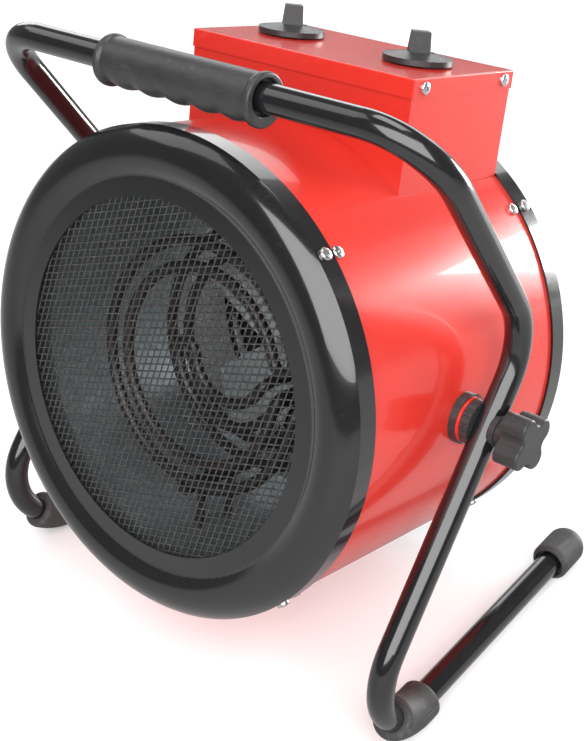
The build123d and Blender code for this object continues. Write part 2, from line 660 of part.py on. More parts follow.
def make_spider():
    """Four armed bracket behind the motor, its end tabs screwed to the drum."""
    back = SPIDER_BACK
    reach = DRUM_INSIDE - SNUG
    front = back - SPIDER_SHEET - SPIDER_TAB
    spider = along_y(MOTOR_D / 2 - 6, back - SPIDER_SHEET, back)
    rim = along_y(reach, front, back) - along_y(reach - SPIDER_SHEET, front, back)
    for angle in SCREW_ANGLES:
        arm = Pos(reach / 2, back - SPIDER_SHEET / 2, 0) * Box(reach, SPIDER_SHEET, SPIDER_ARM)
        wedge = Pos(reach, (front + back) / 2, 0) * Box(reach, back - front, SPIDER_ARM)
        spider += Rot(0, -angle, 0) * arm & along_y(reach, front, back)
        spider += Rot(0, -angle, 0) * wedge & rim
    y, _ = screw_rows()["rear_drum_screws"]
    for angle in SCREW_ANGLES:
        spider -= radial_bar(SHANK_D / 2 + SNUG, angle, y, reach - 10, reach + 5)
    return spider


# ---- Control box ----------------------------------------------------------------------
def box_block(width, depth, low, high):
    return Pos(0, BOX_Y, (low + high) / 2) * Box(width, depth, high - low)


def lid_screw_places():
    return [(side, BOX_Y + end * LID_SCREW_SPAN / 2) for side in (-1, 1) for end in (-1, 1)]


def cut_lid_screw_holes(shape):
    z = LID_TOP - LID_SKIRT / 2
    for _, y in lid_screw_places():
        shape -= Pos(0, y, z) * along_x(SHANK_D / 2 + SNUG, -BOX_WIDTH, BOX_WIDTH)
    return shape


def make_control_box():
    """Four sheet walls saddled on the drum, with an inward flange along the saddle."""
    walls = box_block(BOX_WIDTH, BOX_DEPTH, 0, BOX_TOP)
    inner = box_block(BOX_WIDTH - 2 * BOX_SHEET, BOX_DEPTH - 2 * BOX_SHEET, 0, BOX_TOP)
    seat = DRUM_R + SNUG
    low = BOX_Y - BOX_DEPTH
    high = BOX_Y + BOX_DEPTH
    saddle = along_y(seat + BOX_SHEET, low, high) - along_y(seat, low, high)
    open_x = BOX_WIDTH - 2 * (BOX_SHEET + BOX_FLANGE)
    open_y = BOX_DEPTH - 2 * (BOX_SHEET + BOX_FLANGE)
    window = box_block(open_x, open_y, 0, BOX_TOP)
    upper = Pos(0, 0, DRUM_R) * Box(2 * DRUM_D, 2 * DRUM_D, DRUM_D)
    flange = (saddle & inner & upper) - window
    box = (walls - inner - along_y(seat, low, high)) + flange
    box = cut_lid_screw_holes(box)
    return box - Pos(0, BOX_Y + BOX_DEPTH / 2, GLAND_Z) * Rot(90, 0, 0) * Cylinder(
        GLAND_THREAD / 2 + SNUG, 4 * BOX_SHEET)


def make_lid():
    """Folded lid over the box, with a hole for each switch bush."""
    grow = 2 * (SNUG + LID_SHEET)
    lid = box_block(BOX_WIDTH + grow, BOX_DEPTH + grow, LID_TOP - LID_SKIRT, LID_TOP)
    lid = fillet(lid.edges().filter_by(Axis.Z) + lid.edges().group_by(Axis.Z)[-1], LID_SHEET)
    lid -= box_block(BOX_WIDTH + 2 * SNUG, BOX_DEPTH + 2 * SNUG, 0, BOX_TOP)
    for side in (-1, 1):
        lid -= Pos(side * DIAL_HALF_SPAN, BOX_Y, LID_TOP) * Cylinder(BUSH_D / 2 + SNUG, 10)
    return cut_lid_screw_holes(lid)


def make_lid_screws():
    z = LID_TOP - LID_SKIRT / 2
    screws = []
    for side, y in lid_screw_places():
        seat = BOX_WIDTH / 2 + SNUG + LID_SHEET
        screw = Pos(seat, y, z) * make_screw()
        screws.append(screw if side > 0 else mirror(screw, Plane.YZ))
    return screws


def place_dial(side, shape):
    return Pos(side * DIAL_HALF_SPAN, BOX_Y, LID_TOP) * shape


def make_dial():
    """Dial with an upright rim, a shallow cone and a tapered finger hold; z = 0 is the lid."""
    top = DIAL_LIFT + DIAL_RIM
    peak = top + DIAL_CONE
    radius = DIAL_D / 2
    outline = Polyline((0, DIAL_LIFT), (radius, DIAL_LIFT), (radius, top), (HOLD_LENGTH * 0.7, peak),
                       (0, peak), (0, DIAL_LIFT))
    dial = revolve(Plane.XZ * make_face(outline), Axis.Z)
    base = Plane.XY.offset(top) * Rectangle(HOLD_LENGTH + 2.4, HOLD_WIDTH + 2.0)
    crown = Plane.XY.offset(peak + HOLD_HEIGHT) * Rectangle(HOLD_LENGTH, HOLD_WIDTH)
    hold = loft([base.face(), crown.face()], ruled=True)
    hold = fillet(hold.edges().filter_by(lambda edge: edge.length < HOLD_LENGTH + 1).group_by(Axis.Z)[-1], 0.8)
    pointer = Pos(HOLD_LENGTH / 2 + 2.2, 0, peak - 0.4) * Box(4, 2, 1.6)
    dial += Rot(0, 0, HOLD_TURN) * (hold + pointer)
    bore = Cylinder(SPINDLE_D / 2 + SNUG / 2, SPINDLE_GRIP, align=(Align.CENTER, Align.CENTER, Align.MIN))
    recess = Cylinder(BUSH_D / 2 + 2, 2.6, align=(Align.CENTER, Align.CENTER, Align.MIN))
    return dial - Pos(0, 0, DIAL_LIFT) * bore - Pos(0, 0, DIAL_LIFT) * recess


def make_spindle():
    low = -LID_SHEET - SPINDLE_GRIP
    high = DIAL_LIFT + SPINDLE_GRIP - SNUG
    return extrude(Plane.XY.offset(low) * Circle(SPINDLE_D / 2), high - low)


def make_switch():
    """Rotary switch under the lid, its bush standing through the lid."""
    body = Pos(0, 0, -LID_SHEET - SNUG - SWITCH_DEPTH / 2) * Box(SWITCH_SIZE, SWITCH_SIZE, SWITCH_DEPTH)
    body = fillet(body.edges().filter_by(Axis.Z), 3)
    bush = extrude(Plane.XY.offset(-LID_SHEET - 2) * Circle(BUSH_D / 2), LID_SHEET + 2 + DIAL_LIFT)
    for place in (-1, 0, 1):
        body += Pos(place * 9, 0, -LID_SHEET - SWITCH_DEPTH - 4) * Box(6, 0.8, 9)
    bore = extrude(Plane.XY.offset(-LID_SHEET - SPINDLE_GRIP - SNUG) * Circle(SPINDLE_D / 2 + RUNNING), 40)
    return body + bush - bore


def make_terminal_block():
    """Terminal block on the inside of the rear wall, beside the gland."""
    wall = BOX_Y + BOX_DEPTH / 2 - BOX_SHEET - SNUG
    side = -(BOX_WIDTH / 2 - BOX_SHEET - BLOCK_ASIDE)
    block = Pos(side + BLOCK_LENGTH / 2, wall - BLOCK_DEPTH / 2, GLAND_Z) * Box(
        BLOCK_LENGTH, BLOCK_DEPTH, BLOCK_HEIGHT)
    for place in range(4):
        x = side + BLOCK_LENGTH * (place + 0.5) / 4
        block -= Pos(x, wall - BLOCK_DEPTH / 2 - 2, GLAND_Z + BLOCK_HEIGHT / 2) * Cylinder(2.6, 8)
    return block


def make_gland():
    """Cable gland in the rear wall: hexagon outside, thread through the wall, cable bore."""
    wall = BOX_Y + BOX_DEPTH / 2
    hexagon = extrude(Plane.XZ.offset(-wall - SNUG) * RegularPolygon(GLAND_D / 2, 6), -GLAND_OUT * 0.4)
    dome = extrude(Plane.XZ.offset(-wall - SNUG - GLAND_OUT * 0.4) * Circle(GLAND_D * 0.43), -GLAND_OUT * 0.6)
    dome = fillet(dome.edges().sort_by(Axis.Y)[-1], 3)
    thread = along_y(GLAND_THREAD / 2, wall - GLAND_IN, wall + 1)
    bore = along_y(GLAND_BORE / 2, wall - GLAND_IN, wall + GLAND_OUT + 1)
    return Pos(0, 0, GLAND_Z) * (hexagon + dome + thread - bore)


def make_gland_nut():
    wall = BOX_Y + BOX_DEPTH / 2 - BOX_SHEET - SNUG
    nut = extrude(Plane.XZ.offset(-wall) * RegularPolygon(GLAND_D / 2, 6), 4)
    return Pos(0, 0, GLAND_Z) * (nut - along_y(GLAND_THREAD / 2 + SNUG, wall - 6, wall + 2))


# ---- Clamp pivots ---------------------------------------------------------------------
def on_pivot(side, shape):
    """Put a shape made on the +X pivot axis on either side of the heater."""
    return Pos(0, PIVOT_Y, PIVOT_Z) * (shape if side > 0 else mirror(shape, Plane.YZ))


def make_pivot_washer(side):
    """Black washer whose inner face follows the drum."""
    washer = along_x(WASHER_D / 2, DRUM_R - 3, WASHER_FACE)
    washer -= along_x(STUD_D / 2 + SLIP, 0, 2 * DRUM_D)
    drum = Pos(0, 0, -DRUM_BELOW_PIVOT) * along_y(DRUM_R + SNUG, -DRUM_D, DRUM_D)
    return on_pivot(side, washer - drum)


def make_pivot_disc(side):
    """Red disc that the ribbed saddle bears on."""
    disc = along_x(DISC_D / 2, WASHER_FACE, WASHER_FACE + DISC_THICK)
    return on_pivot(side, disc - along_x(STUD_D / 2 + SLIP, 0, 2 * DRUM_D))


def make_inner_saddle(side):
    """Ribbed saddle between the disc and the tube, hollowed for the tube."""
    face = WASHER_FACE + DISC_THICK + SLIP
    seat = tube_half_at_pivot() - TUBE_D / 2
    saddle = along_x(SADDLE_D / 2, face, seat + SADDLE_HOLD)
    for number in range(SADDLE_RIBS):
        notch = Pos(0, SADDLE_D / 2 + 0.4, 0) * along_x(1.2, 0, 2 * DRUM_D)
        saddle -= Rot(360 / SADDLE_RIBS * number, 0, 0) * notch
    saddle -= along_x(STUD_D / 2 + SLIP, 0, 2 * DRUM_D)
    return on_pivot(side, saddle) - leg_bar(side, TUBE_D / 2 + SNUG)


def collar_face():
    return tube_half_at_pivot() + TUBE_D / 2 + 1.0


def make_outer_saddle(side):
    """Collar under the knob, hollowed for the tube."""
    low = tube_half_at_pivot() + TUBE_D / 2 - SADDLE_HOLD
    saddle = along_x(COLLAR_D / 2, low, collar_face()) - along_x(STUD_D / 2 + SNUG, 0, 2 * DRUM_D)
    return on_pivot(side, saddle) - leg_bar(side, TUBE_D / 2 + SNUG)


def make_clamp_knob(side):
    """Four lobed knob with a hub towards the tube."""
    face = collar_face() + SNUG
    arm = extrude(Plane.YZ.offset(face + KNOB_HUB) * SlotOverall(KNOB_SPAN, LOBE_WIDTH), KNOB_THICK)
    body = arm + Rot(90, 0, 0) * arm
    inner = body.edges().filter_by(Axis.X).filter_by(
        lambda edge: abs(abs(edge.center().Y) - abs(edge.center().Z)) < 0.01)
    body = Rot(KNOB_TURN, 0, 0) * fillet(inner, LOBE_WIDTH * 0.32)
    body = fillet(body.edges().group_by(Axis.X)[-1], 1.5)
    body += along_x(KNOB_HUB_D / 2, face, face + KNOB_HUB)
    body -= along_x(STUD_D / 2 + SNUG / 2, 0, face + KNOB_HUB + STUD_IN_KNOB)
    return on_pivot(side, body)


def make_clamp_stud(side):
    """Stud moulded in the knob, screwed into the nut inside the drum."""
    low = DRUM_INSIDE - NUT_THICK - 4
    high = collar_face() + KNOB_HUB + STUD_IN_KNOB
    return on_pivot(side, along_x(STUD_D / 2, low, high))


def make_pivot_nut(side):
    """Nut welded to the inside of the drum."""
    high = sqrt(DRUM_INSIDE ** 2 - (DRUM_BELOW_PIVOT + NUT_FLATS * 0.6) ** 2) - SNUG
    flat = Plane.YZ.offset(high - NUT_THICK) * RegularPolygon(NUT_FLATS / 2, 6, major_radius=False)
    nut = extrude(flat, NUT_THICK) - along_x(STUD_D / 2 + RUNNING, 0, DRUM_D)
    return on_pivot(side, nut)


# ---- Write every piece ----------------------------------------------------------------
def tilted(shape):
    """Turn a piece made on the pivot axis with the drum."""
    pivot = Pos(0, PIVOT_Y, PIVOT_Z)
    return pivot * Rot(-DRUM_TILT, 0, 0) * pivot.inverse() * shape


def write_stand():
    save(make_frame_tube(), "frame_tube")
    save(make_grip(), "handle_grip")
    for name, foot in (("front", make_front_foot()), ("rear", make_rear_foot())):
        save(foot, f"{name}_left_foot")
        save(mirror(foot, Plane.YZ), f"{name}_right_foot")
    for side, name in ((-1, "left"), (1, "right")):
        save(make_inner_saddle(side), f"{name}_inner_saddle")
        save(make_outer_saddle(side), f"{name}_outer_saddle")
        save(make_clamp_knob(side), f"{name}_clamp_knob")
        save(make_clamp_stud(side), f"{name}_clamp_stud")


def write_drum():
    save(to_drum(make_drum_shell()), "drum_shell")
    ring = make_ring()
    save(to_drum(cut_screw_holes(place_front_ring(ring))), "front_ring")
    save(to_drum(cut_screw_holes(place_rear_ring(ring))), "rear_ring")
    save(to_drum(place_front_ring(make_mesh(1.0))), "front_mesh")
    save(to_drum(place_rear_ring(make_mesh(REAR_MESH_SCALE))), "rear_mesh")
    for name, (y, radius) in screw_rows().items():
        save(to_drum(Compound(make_screw_row(y, radius))), name)
    for side, name in ((-1, "left"), (1, "right")):
        save(tilted(make_pivot_washer(side)), f"{name}_pivot_washer")
        save(tilted(make_pivot_disc(side)), f"{name}_pivot_disc")
        save(tilted(make_pivot_nut(side)), f"{name}_pivot_nut")


def write_heating():
    save(to_drum(make_liner()), "heat_duct")
    for name in ELEMENT_PLANES:
        save(to_drum(make_element(name)), f"{name}_element")
    save(to_drum(make_carrier()), "element_carrier")
    save(to_drum(make_element_stay()), "element_stay")
    save(to_drum(Compound(make_carrier_screws())), "carrier_screws")
    save(to_drum(make_cutout()), "thermal_cutout")


def write_fan():
    save(to_drum(make_fan()), "fan")
    save(to_drum(make_shaft()), "motor_shaft")
    save(to_drum(make_motor()), "fan_motor")
    save(to_drum(make_spider()), "motor_bracket")


def write_controls():
    save(to_drum(make_control_box()), "control_box")
    save(to_drum(make_lid()), "control_box_lid")
    save(to_drum(Compound(make_lid_screws())), "lid_screws")
    for side, name in ((-1, "thermostat"), (1, "selector")):
        save(to_drum(place_dial(side, make_dial())), f"{name}_dial")
        save(to_drum(place_dial(side, make_spindle())), f"{name}_spindle")
        save(to_drum(place_dial(side, make_switch())), f"{name}_switch")
    save(to_drum(make_terminal_block()), "terminal_block")
    save(to_drum(make_gland()), "cable_gland")
    save(to_drum(make_gland_nut()), "gland_nut")


write_stand()
write_drum()
write_heating()
write_fan()
write_controls()
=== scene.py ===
import bpy
import bmesh
import json
import math
from mathutils import Matrix, Vector


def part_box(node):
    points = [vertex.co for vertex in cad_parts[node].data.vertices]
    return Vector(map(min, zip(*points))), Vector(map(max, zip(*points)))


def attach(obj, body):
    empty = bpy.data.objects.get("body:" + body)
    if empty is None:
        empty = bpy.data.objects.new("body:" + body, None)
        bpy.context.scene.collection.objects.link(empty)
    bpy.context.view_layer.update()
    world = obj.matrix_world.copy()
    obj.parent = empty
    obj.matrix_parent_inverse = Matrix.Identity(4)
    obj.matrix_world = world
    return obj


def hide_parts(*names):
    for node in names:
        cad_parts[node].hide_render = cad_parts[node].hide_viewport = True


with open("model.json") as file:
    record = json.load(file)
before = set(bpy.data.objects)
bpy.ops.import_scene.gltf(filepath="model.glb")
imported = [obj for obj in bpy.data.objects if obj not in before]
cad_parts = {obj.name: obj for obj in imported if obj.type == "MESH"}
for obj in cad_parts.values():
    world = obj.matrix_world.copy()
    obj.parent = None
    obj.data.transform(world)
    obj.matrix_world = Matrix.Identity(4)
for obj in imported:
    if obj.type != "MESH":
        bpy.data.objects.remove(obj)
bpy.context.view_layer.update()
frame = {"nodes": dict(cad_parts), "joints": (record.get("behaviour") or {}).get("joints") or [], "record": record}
nodes = frame["nodes"]
print("frame loaded:", len(nodes), "nodes")

mm = 0.001
pivot = Vector(next(j for j in frame["joints"] if j["name"] == "drum_tilt")["pos_m"])
# rest tilt in degrees, axis under the pivot, middle of the drum's sheet
drum = {"tilt": 12, "belowPivot": 3.4 * mm, "sheetRadius": 161.9 * mm}
pivotPlace = Matrix.Translation(pivot)
tiltPlace = pivotPlace @ Matrix.Rotation(math.radians(-drum["tilt"]), 4, "X")
drumPlace = tiltPlace @ Matrix.Translation((0, 0, -drum["belowPivot"]))
onXZ = Matrix.Rotation(math.radians(90), 4, "X")  # a flat pattern stood up to face -Y


# node trees

def addNode(tree, kind, values=None, **settings):
    node = tree.nodes.new(kind)
    for name, value in settings.items():
        setattr(node, name, value)
    for name, value in (values or {}).items():
        if isinstance(value, bpy.types.NodeSocket):
            tree.links.new(value, node.inputs[name])
        else:
            node.inputs[name].default_value = value
    return node


def addSockets(tree, inputs, outputs):
    for name, kind, default in inputs:
        socket = tree.interface.new_socket(name, in_out="INPUT", socket_type="NodeSocket" + kind)
        if default is not None:
            socket.default_value = default
    for name, kind in outputs:
        tree.interface.new_socket(name, in_out="OUTPUT", socket_type="NodeSocket" + kind)
    return tree.nodes.new("NodeGroupInput").outputs, tree.nodes.new("NodeGroupOutput").inputs


def mathNode(tree, operation, a, b=0.0):
    return addNode(tree, "ShaderNodeMath", {0: a, 1: b}, operation=operation).outputs[0]


def vectorMath(tree, operation, a, b=(0, 0, 0)):
    node = addNode(tree, "ShaderNodeVectorMath", {0: a, 1: b}, operation=operation)
    return node.outputs["Value" if operation in ("LENGTH", "DOT_PRODUCT") else "Vector"]


def ramp(tree, value, stops):
    node = addNode(tree, "ShaderNodeValToRGB", {"Fac": value})
    for element, (place, tone) in zip(node.color_ramp.elements, stops):
        element.position = place
        element.color = (tone, tone, tone, 1)
    return node.outputs["Color"]


# shader groups that several finishes share

def objectPoint(tree):
    return addNode(tree, "ShaderNodeTexCoord").outputs["Object"]


def makeCloudGroup():
    # slow change of tone over a coat, with a finer layer on top
    tree = bpy.data.node_groups.new("cloudyTone", "ShaderNodeTree")
    given, put = addSockets(
        tree, [("Patches", "Float", 9.0), ("Fine", "Float", 140.0), ("Mix", "Float", 0.35)],
        [("Tone", "Float")])
    point = objectPoint(tree)
    broad = addNode(tree, "ShaderNodeTexNoise", {
        "Vector": point, "Scale": given["Patches"], "Detail": 3.0, "Roughness": 0.55})
    fine = addNode(tree, "ShaderNodeTexNoise", {
        "Vector": point, "Scale": given["Fine"], "Detail": 4.0, "Roughness": 0.6})
    both = addNode(tree, "ShaderNodeMix", {
        0: given["Mix"], 2: broad.outputs["Fac"], 3: fine.outputs["Fac"]})
    tree.links.new(both.outputs[0], put["Tone"])
    return tree


def makeGrainGroup():
    # height of a grain: small cells for moulded plastic or the peel of a sprayed coat
    tree = bpy.data.node_groups.new("surfaceGrain", "ShaderNodeTree")
    given, put = addSockets(
        tree, [("Grain", "Float", 1400.0), ("Swell", "Float", 160.0), ("Swell Share", "Float", 0.4)],
        [("Height", "Float")])
    point = objectPoint(tree)
    cells = addNode(tree, "ShaderNodeTexNoise", {"Vector": point, "Scale": given["Grain"], "Detail": 2.0})
    swell = addNode(tree, "ShaderNodeTexNoise", {"Vector": point, "Scale": given["Swell"], "Detail": 1.0})
    both = addNode(
        tree, "ShaderNodeMix", {0: given["Swell Share"], 2: cells.outputs["Fac"], 3: swell.outputs["Fac"]})
    tree.links.new(both.outputs[0], put["Height"])
    return tree


def makeScuffGroup():
    # mask of hairline scuffs, in two directions
    tree = bpy.data.node_groups.new("hairScuffs", "ShaderNodeTree")
    given, put = addSockets(
        tree, [("Density", "Float", 26.0), ("Cover", "Float", 0.62)], [("Mask", "Float")])
    point = objectPoint(tree)
    masks = []
    for turn, stretch in (((0.3, 0.5, 0.9), (1, 14, 9)), ((1.1, 0.2, 2.3), (12, 1, 15))):
        mapped = addNode(tree, "ShaderNodeMapping", {"Vector": point, "Rotation": turn, "Scale": stretch})
        lines = addNode(
            tree, "ShaderNodeTexNoise",
            {"Vector": mapped.outputs["Vector"], "Scale": given["Density"], "Detail": 5.0, "Distortion": 0.4})
        masks.append(mathNode(tree, "GREATER_THAN", lines.outputs["Fac"], given["Cover"]))
    tree.links.new(mathNode(tree, "MAXIMUM", *masks), put["Mask"])
    return tree


def makeDustGroup():
    # light dust that lies on faces that look up
    tree = bpy.data.node_groups.new("settledDust", "ShaderNodeTree")
    given, put = addSockets(
        tree, [("Amount", "Float", 0.25), ("Specks", "Float", 700.0)], [("Mask", "Float")])
    normal = addNode(tree, "ShaderNodeTexCoord").outputs["Normal"]
    facing = addNode(tree, "ShaderNodeSeparateXYZ", {"Vector": normal})
    up = ramp(tree, facing.outputs["Z"], ((0.35, 0), (0.95, 1)))
    specks = addNode(
        tree, "ShaderNodeTexNoise", {"Vector": objectPoint(tree), "Scale": given["Specks"], "Detail": 3.0})
    fine = ramp(tree, specks.outputs["Fac"], ((0.5, 0), (0.75, 1)))
    mask = mathNode(tree, "MULTIPLY", mathNode(tree, "MULTIPLY", up, fine), given["Amount"])
    tree.links.new(mask, put["Mask"])
    return tree


def makeSpangleGroup():
    # zinc crystals of hot dipped sheet
    tree = bpy.data.node_groups.new("zincSpangle", "ShaderNodeTree")
    given, put = addSockets(tree, [("Size", "Float", 120.0)], [("Tone", "Float"), ("Height", "Float")])
    point = objectPoint(tree)
    bent = addNode(tree, "ShaderNodeTexNoise", {"Vector": point, "Scale": 60.0, "Detail": 2.0})
    shifted = addNode(
        tree, "ShaderNodeMix", {"Factor": 0.03, 4: point, 5: bent.outputs["Color"]}, data_type="VECTOR")
    cells = addNode(tree, "ShaderNodeTexVoronoi", {"Vector": shifted.outputs[1], "Scale": given["Size"]})
    tone = addNode(tree, "ShaderNodeSeparateColor", {"Color": cells.outputs["Color"]})
    tree.links.new(tone.outputs["Red"], put["Tone"])
    tree.links.new(cells.outputs["Distance"], put["Height"])
    return tree


def makeInsideGroup():
    # mask of everything nearer to the drum's axis than the middle of its sheet
    tree = bpy.data.node_groups.new("insideDrum", "ShaderNodeTree")
    given, put = addSockets(tree, [("Radius", "Float", drum["sheetRadius"])], [("Mask", "Float")])
    offset = vectorMath(tree, "SUBTRACT", objectPoint(tree), tuple(drumPlace.translation))
    across = vectorMath(tree, "CROSS_PRODUCT", offset, tuple(drumPlace.col[1][:3]))
    distance = vectorMath(tree, "LENGTH", across)
    tree.links.new(mathNode(tree, "LESS_THAN", distance, given["Radius"]), put["Mask"])
    return tree


groups = {
    "inside": makeInsideGroup(),
    "cloud": makeCloudGroup(),
    "grain": makeGrainGroup(),
    "scuffs": makeScuffGroup(),
    "dust": makeDustGroup(),
    "spangle": makeSpangleGroup(),
}
print("shader groups built:", len(groups))


def fillGroup(tree, key, values):
    node = tree.nodes.new("ShaderNodeGroup")
    node.node_tree = groups[key]
    for name, value in values.items():
        node.inputs[name].default_value = value
    return node


def colourMix(tree, amount, a, b):
    node = addNode(tree, "ShaderNodeMix", {"Factor": amount}, data_type="RGBA")
    for index, colour in ((6, a), (7, b)):
        if isinstance(colour, bpy.types.NodeSocket):
            tree.links.new(colour, node.inputs[index])
        else:
            node.inputs[index].default_value = (*colour, 1)
    return node.outputs[2]


def spread(tree, value, low, high):
    node = addNode(tree, "ShaderNodeMapRange", {
        "Value": value, "From Min": 0.3, "From Max": 0.7, "To Min": low, "To Max": high})
    return node.outputs["Result"]


def newMaterial(name, settings):
    material = bpy.data.materials.new(name)
    material.use_nodes = True
    tree = material.node_tree
    shader = tree.nodes["Principled BSDF"]
    for socket, value in settings.items():
        shader.inputs[socket].default_value = value
    return material, tree, shader


def relief(tree, shader, height, distance, strength=1.0):
    bump = addNode(tree, "ShaderNodeBump", {"Height": height, "Distance": distance, "Strength": strength})
    tree.links.new(bump.outputs["Normal"], shader.inputs["Normal"])
    return bump


dustLook = {"colour": (0.55, 0.53, 0.50), "rough": 0.4}


# a sprayed or moulded finish: two tones of one colour, grain, scuffs and dust
def makeCoat(name, look):
    material, tree, shader = newMaterial(name, look["shader"])
    cloud = fillGroup(tree, "cloud", look["cloud"])
    grain = fillGroup(tree, "grain", look["grain"])
    scuffs = fillGroup(tree, "scuffs", look["scuffs"])
    dust = fillGroup(tree, "dust", {"Amount": look["dust"]})
    tone = spread(tree, cloud.outputs["Tone"], 0.0, 1.0)
    base = colourMix(tree, tone, *look["colours"])
    wear = mathNode(tree, "MULTIPLY", scuffs.outputs["Mask"], look["scuffTone"])
    worn = colourMix(tree, wear, base, look["worn"])
    dusty = colourMix(tree, dust.outputs["Mask"], worn, dustLook["colour"])
    tree.links.new(dusty, shader.inputs["Base Color"])
    rough = spread(tree, cloud.outputs["Tone"], *look["rough"])
    scuffed = mathNode(tree, "MULTIPLY", scuffs.outputs["Mask"], look["scuffRough"])
    rough = mathNode(tree, "ADD", rough, scuffed)
    rough = mathNode(tree, "ADD", rough, mathNode(tree, "MULTIPLY", dust.outputs["Mask"], dustLook["rough"]))
    tree.links.new(rough, shader.inputs["Roughness"])
    relief(tree, shader, grain.outputs["Height"], look["depth"])
    return material


redCoat = {
    "shader": {"Coat Weight": 0.42, "Coat Roughness": 0.05, "IOR": 1.5, "Specular IOR Level": 0.42},
    "colours": ((0.58, 0.026, 0.017), (0.64, 0.032, 0.021)), "worn": (0.66, 0.09, 0.07),
    "cloud": {"Patches": 7.0, "Fine": 180.0, "Mix": 0.25},
    "grain": {"Grain": 1500.0, "Swell": 330.0, "Swell Share": 0.55},
    "scuffs": {"Density": 22.0, "Cover": 0.72}, "scuffTone": 0.04, "scuffRough": 0.02,
    "rough": (0.20, 0.27), "dust": 0.01, "depth": 0.00002,
}
blackCoat = {
    "shader": {"Coat Weight": 0.70, "Coat Roughness": 0.04, "IOR": 1.5, "Specular IOR Level": 0.42},
    "colours": ((0.006, 0.006, 0.007), (0.010, 0.010, 0.011)), "worn": (0.04, 0.04, 0.042),
    "cloud": {"Patches": 11.0, "Fine": 210.0, "Mix": 0.3},
    "grain": {"Grain": 1300.0, "Swell": 300.0, "Swell Share": 0.6},
    "scuffs": {"Density": 24.0, "Cover": 0.70}, "scuffTone": 0.12, "scuffRough": 0.06,
    "rough": (0.14, 0.20), "dust": 0.02, "depth": 0.00002,
}
gripPlastic = {
    "shader": {"IOR": 1.47},
    "colours": ((0.022, 0.022, 0.023), (0.034, 0.034, 0.035)), "worn": (0.075, 0.075, 0.075),
    "cloud": {"Patches": 16.0, "Fine": 300.0, "Mix": 0.4},
    "grain": {"Grain": 2600.0, "Swell": 260.0, "Swell Share": 0.2},
    "scuffs": {"Density": 30.0, "Cover": 0.66}, "scuffTone": 0.4, "scuffRough": -0.08,
    "rough": (0.34, 0.43), "dust": 0.03, "depth": 0.00005,
}
footRubber = {
    "shader": {"IOR": 1.45},
    "colours": ((0.030, 0.030, 0.030), (0.048, 0.047, 0.046)), "worn": (0.12, 0.115, 0.11),
    "cloud": {"Patches": 24.0, "Fine": 420.0, "Mix": 0.45},
    "grain": {"Grain": 1900.0, "Swell": 220.0, "Swell Share": 0.3},
    "scuffs": {"Density": 18.0, "Cover": 0.64}, "scuffTone": 0.35, "scuffRough": 0.05,
    "rough": (0.55, 0.66), "dust": 0.07, "depth": 0.00010,
}
fanPaint = {
    "shader": {"IOR": 1.45},
    "colours": ((0.40, 0.44, 0.46), (0.48, 0.52, 0.54)), "worn": (0.55, 0.58, 0.60),
    "cloud": {"Patches": 14.0, "Fine": 240.0, "Mix": 0.4},
    "grain": {"Grain": 1100.0, "Swell": 260.0, "Swell Share": 0.5},
    "scuffs": {"Density": 30.0, "Cover": 0.68}, "scuffTone": 0.12, "scuffRough": 0.04,
    "rough": (0.36, 0.46), "dust": 0.02, "depth": 0.00003,
}
motorPaint = {
    "shader": {"IOR": 1.45},
    "colours": ((0.018, 0.018, 0.020), (0.034, 0.034, 0.036)), "worn": (0.12, 0.12, 0.12),
    "cloud": {"Patches": 18.0, "Fine": 260.0, "Mix": 0.4},
    "grain": {"Grain": 900.0, "Swell": 200.0, "Swell Share": 0.5},
    "scuffs": {"Density": 30.0, "Cover": 0.62}, "scuffTone": 0.5, "scuffRough": 0.1,
    "rough": (0.40, 0.55), "dust": 0.08, "depth": 0.00006,
}
switchPlastic = {
    "shader": {"IOR": 1.47},
    "colours": ((0.016, 0.016, 0.017), (0.026, 0.026, 0.027)), "worn": (0.07, 0.07, 0.07),
    "cloud": {"Patches": 20.0, "Fine": 320.0, "Mix": 0.4},
    "grain": {"Grain": 2400.0, "Swell": 240.0, "Swell Share": 0.2},
    "scuffs": {"Density": 40.0, "Cover": 0.66}, "scuffTone": 0.3, "scuffRough": 0.06,
    "rough": (0.24, 0.34), "dust": 0.03, "depth": 0.00004,
}
creamPlastic = {
    "shader": {"IOR": 1.5},
    "colours": ((0.60, 0.55, 0.44), (0.68, 0.63, 0.52)), "worn": (0.45, 0.40, 0.30),
    "cloud": {"Patches": 20.0, "Fine": 320.0, "Mix": 0.4},
    "grain": {"Grain": 2000.0, "Swell": 240.0, "Swell Share": 0.2},
    "scuffs": {"Density": 40.0, "Cover": 0.66}, "scuffTone": 0.3, "scuffRough": 0.06,
    "rough": (0.28, 0.38), "dust": 0.04, "depth": 0.00003,
}


# metals without a coat
zinc = {
    "light": (0.80, 0.80, 0.78), "dark": (0.58, 0.58, 0.57), "rough": (0.16, 0.32), "scuffRough": 0.12,
    "depth": 0.02 * mm,
}


def makeZinc():
    material, tree, shader = newMaterial("brightZinc", {"Metallic": 1.0})
    cloud = fillGroup(tree, "cloud", {"Patches": 120.0, "Fine": 1500.0, "Mix": 0.5})
    scuffs = fillGroup(tree, "scuffs", {"Density": 160.0, "Cover": 0.60})
    tone = spread(tree, cloud.outputs["Tone"], 0.0, 1.0)
    tree.links.new(colourMix(tree, tone, zinc["dark"], zinc["light"]), shader.inputs["Base Color"])
    rough = spread(tree, cloud.outputs["Tone"], *zinc["rough"])
    scuffed = mathNode(tree, "MULTIPLY", scuffs.outputs["Mask"], zinc["scuffRough"])
    tree.links.new(mathNode(tree, "ADD", rough, scuffed), shader.inputs["Roughness"])
    relief(tree, shader, cloud.outputs["Tone"], zinc["depth"])
    return material


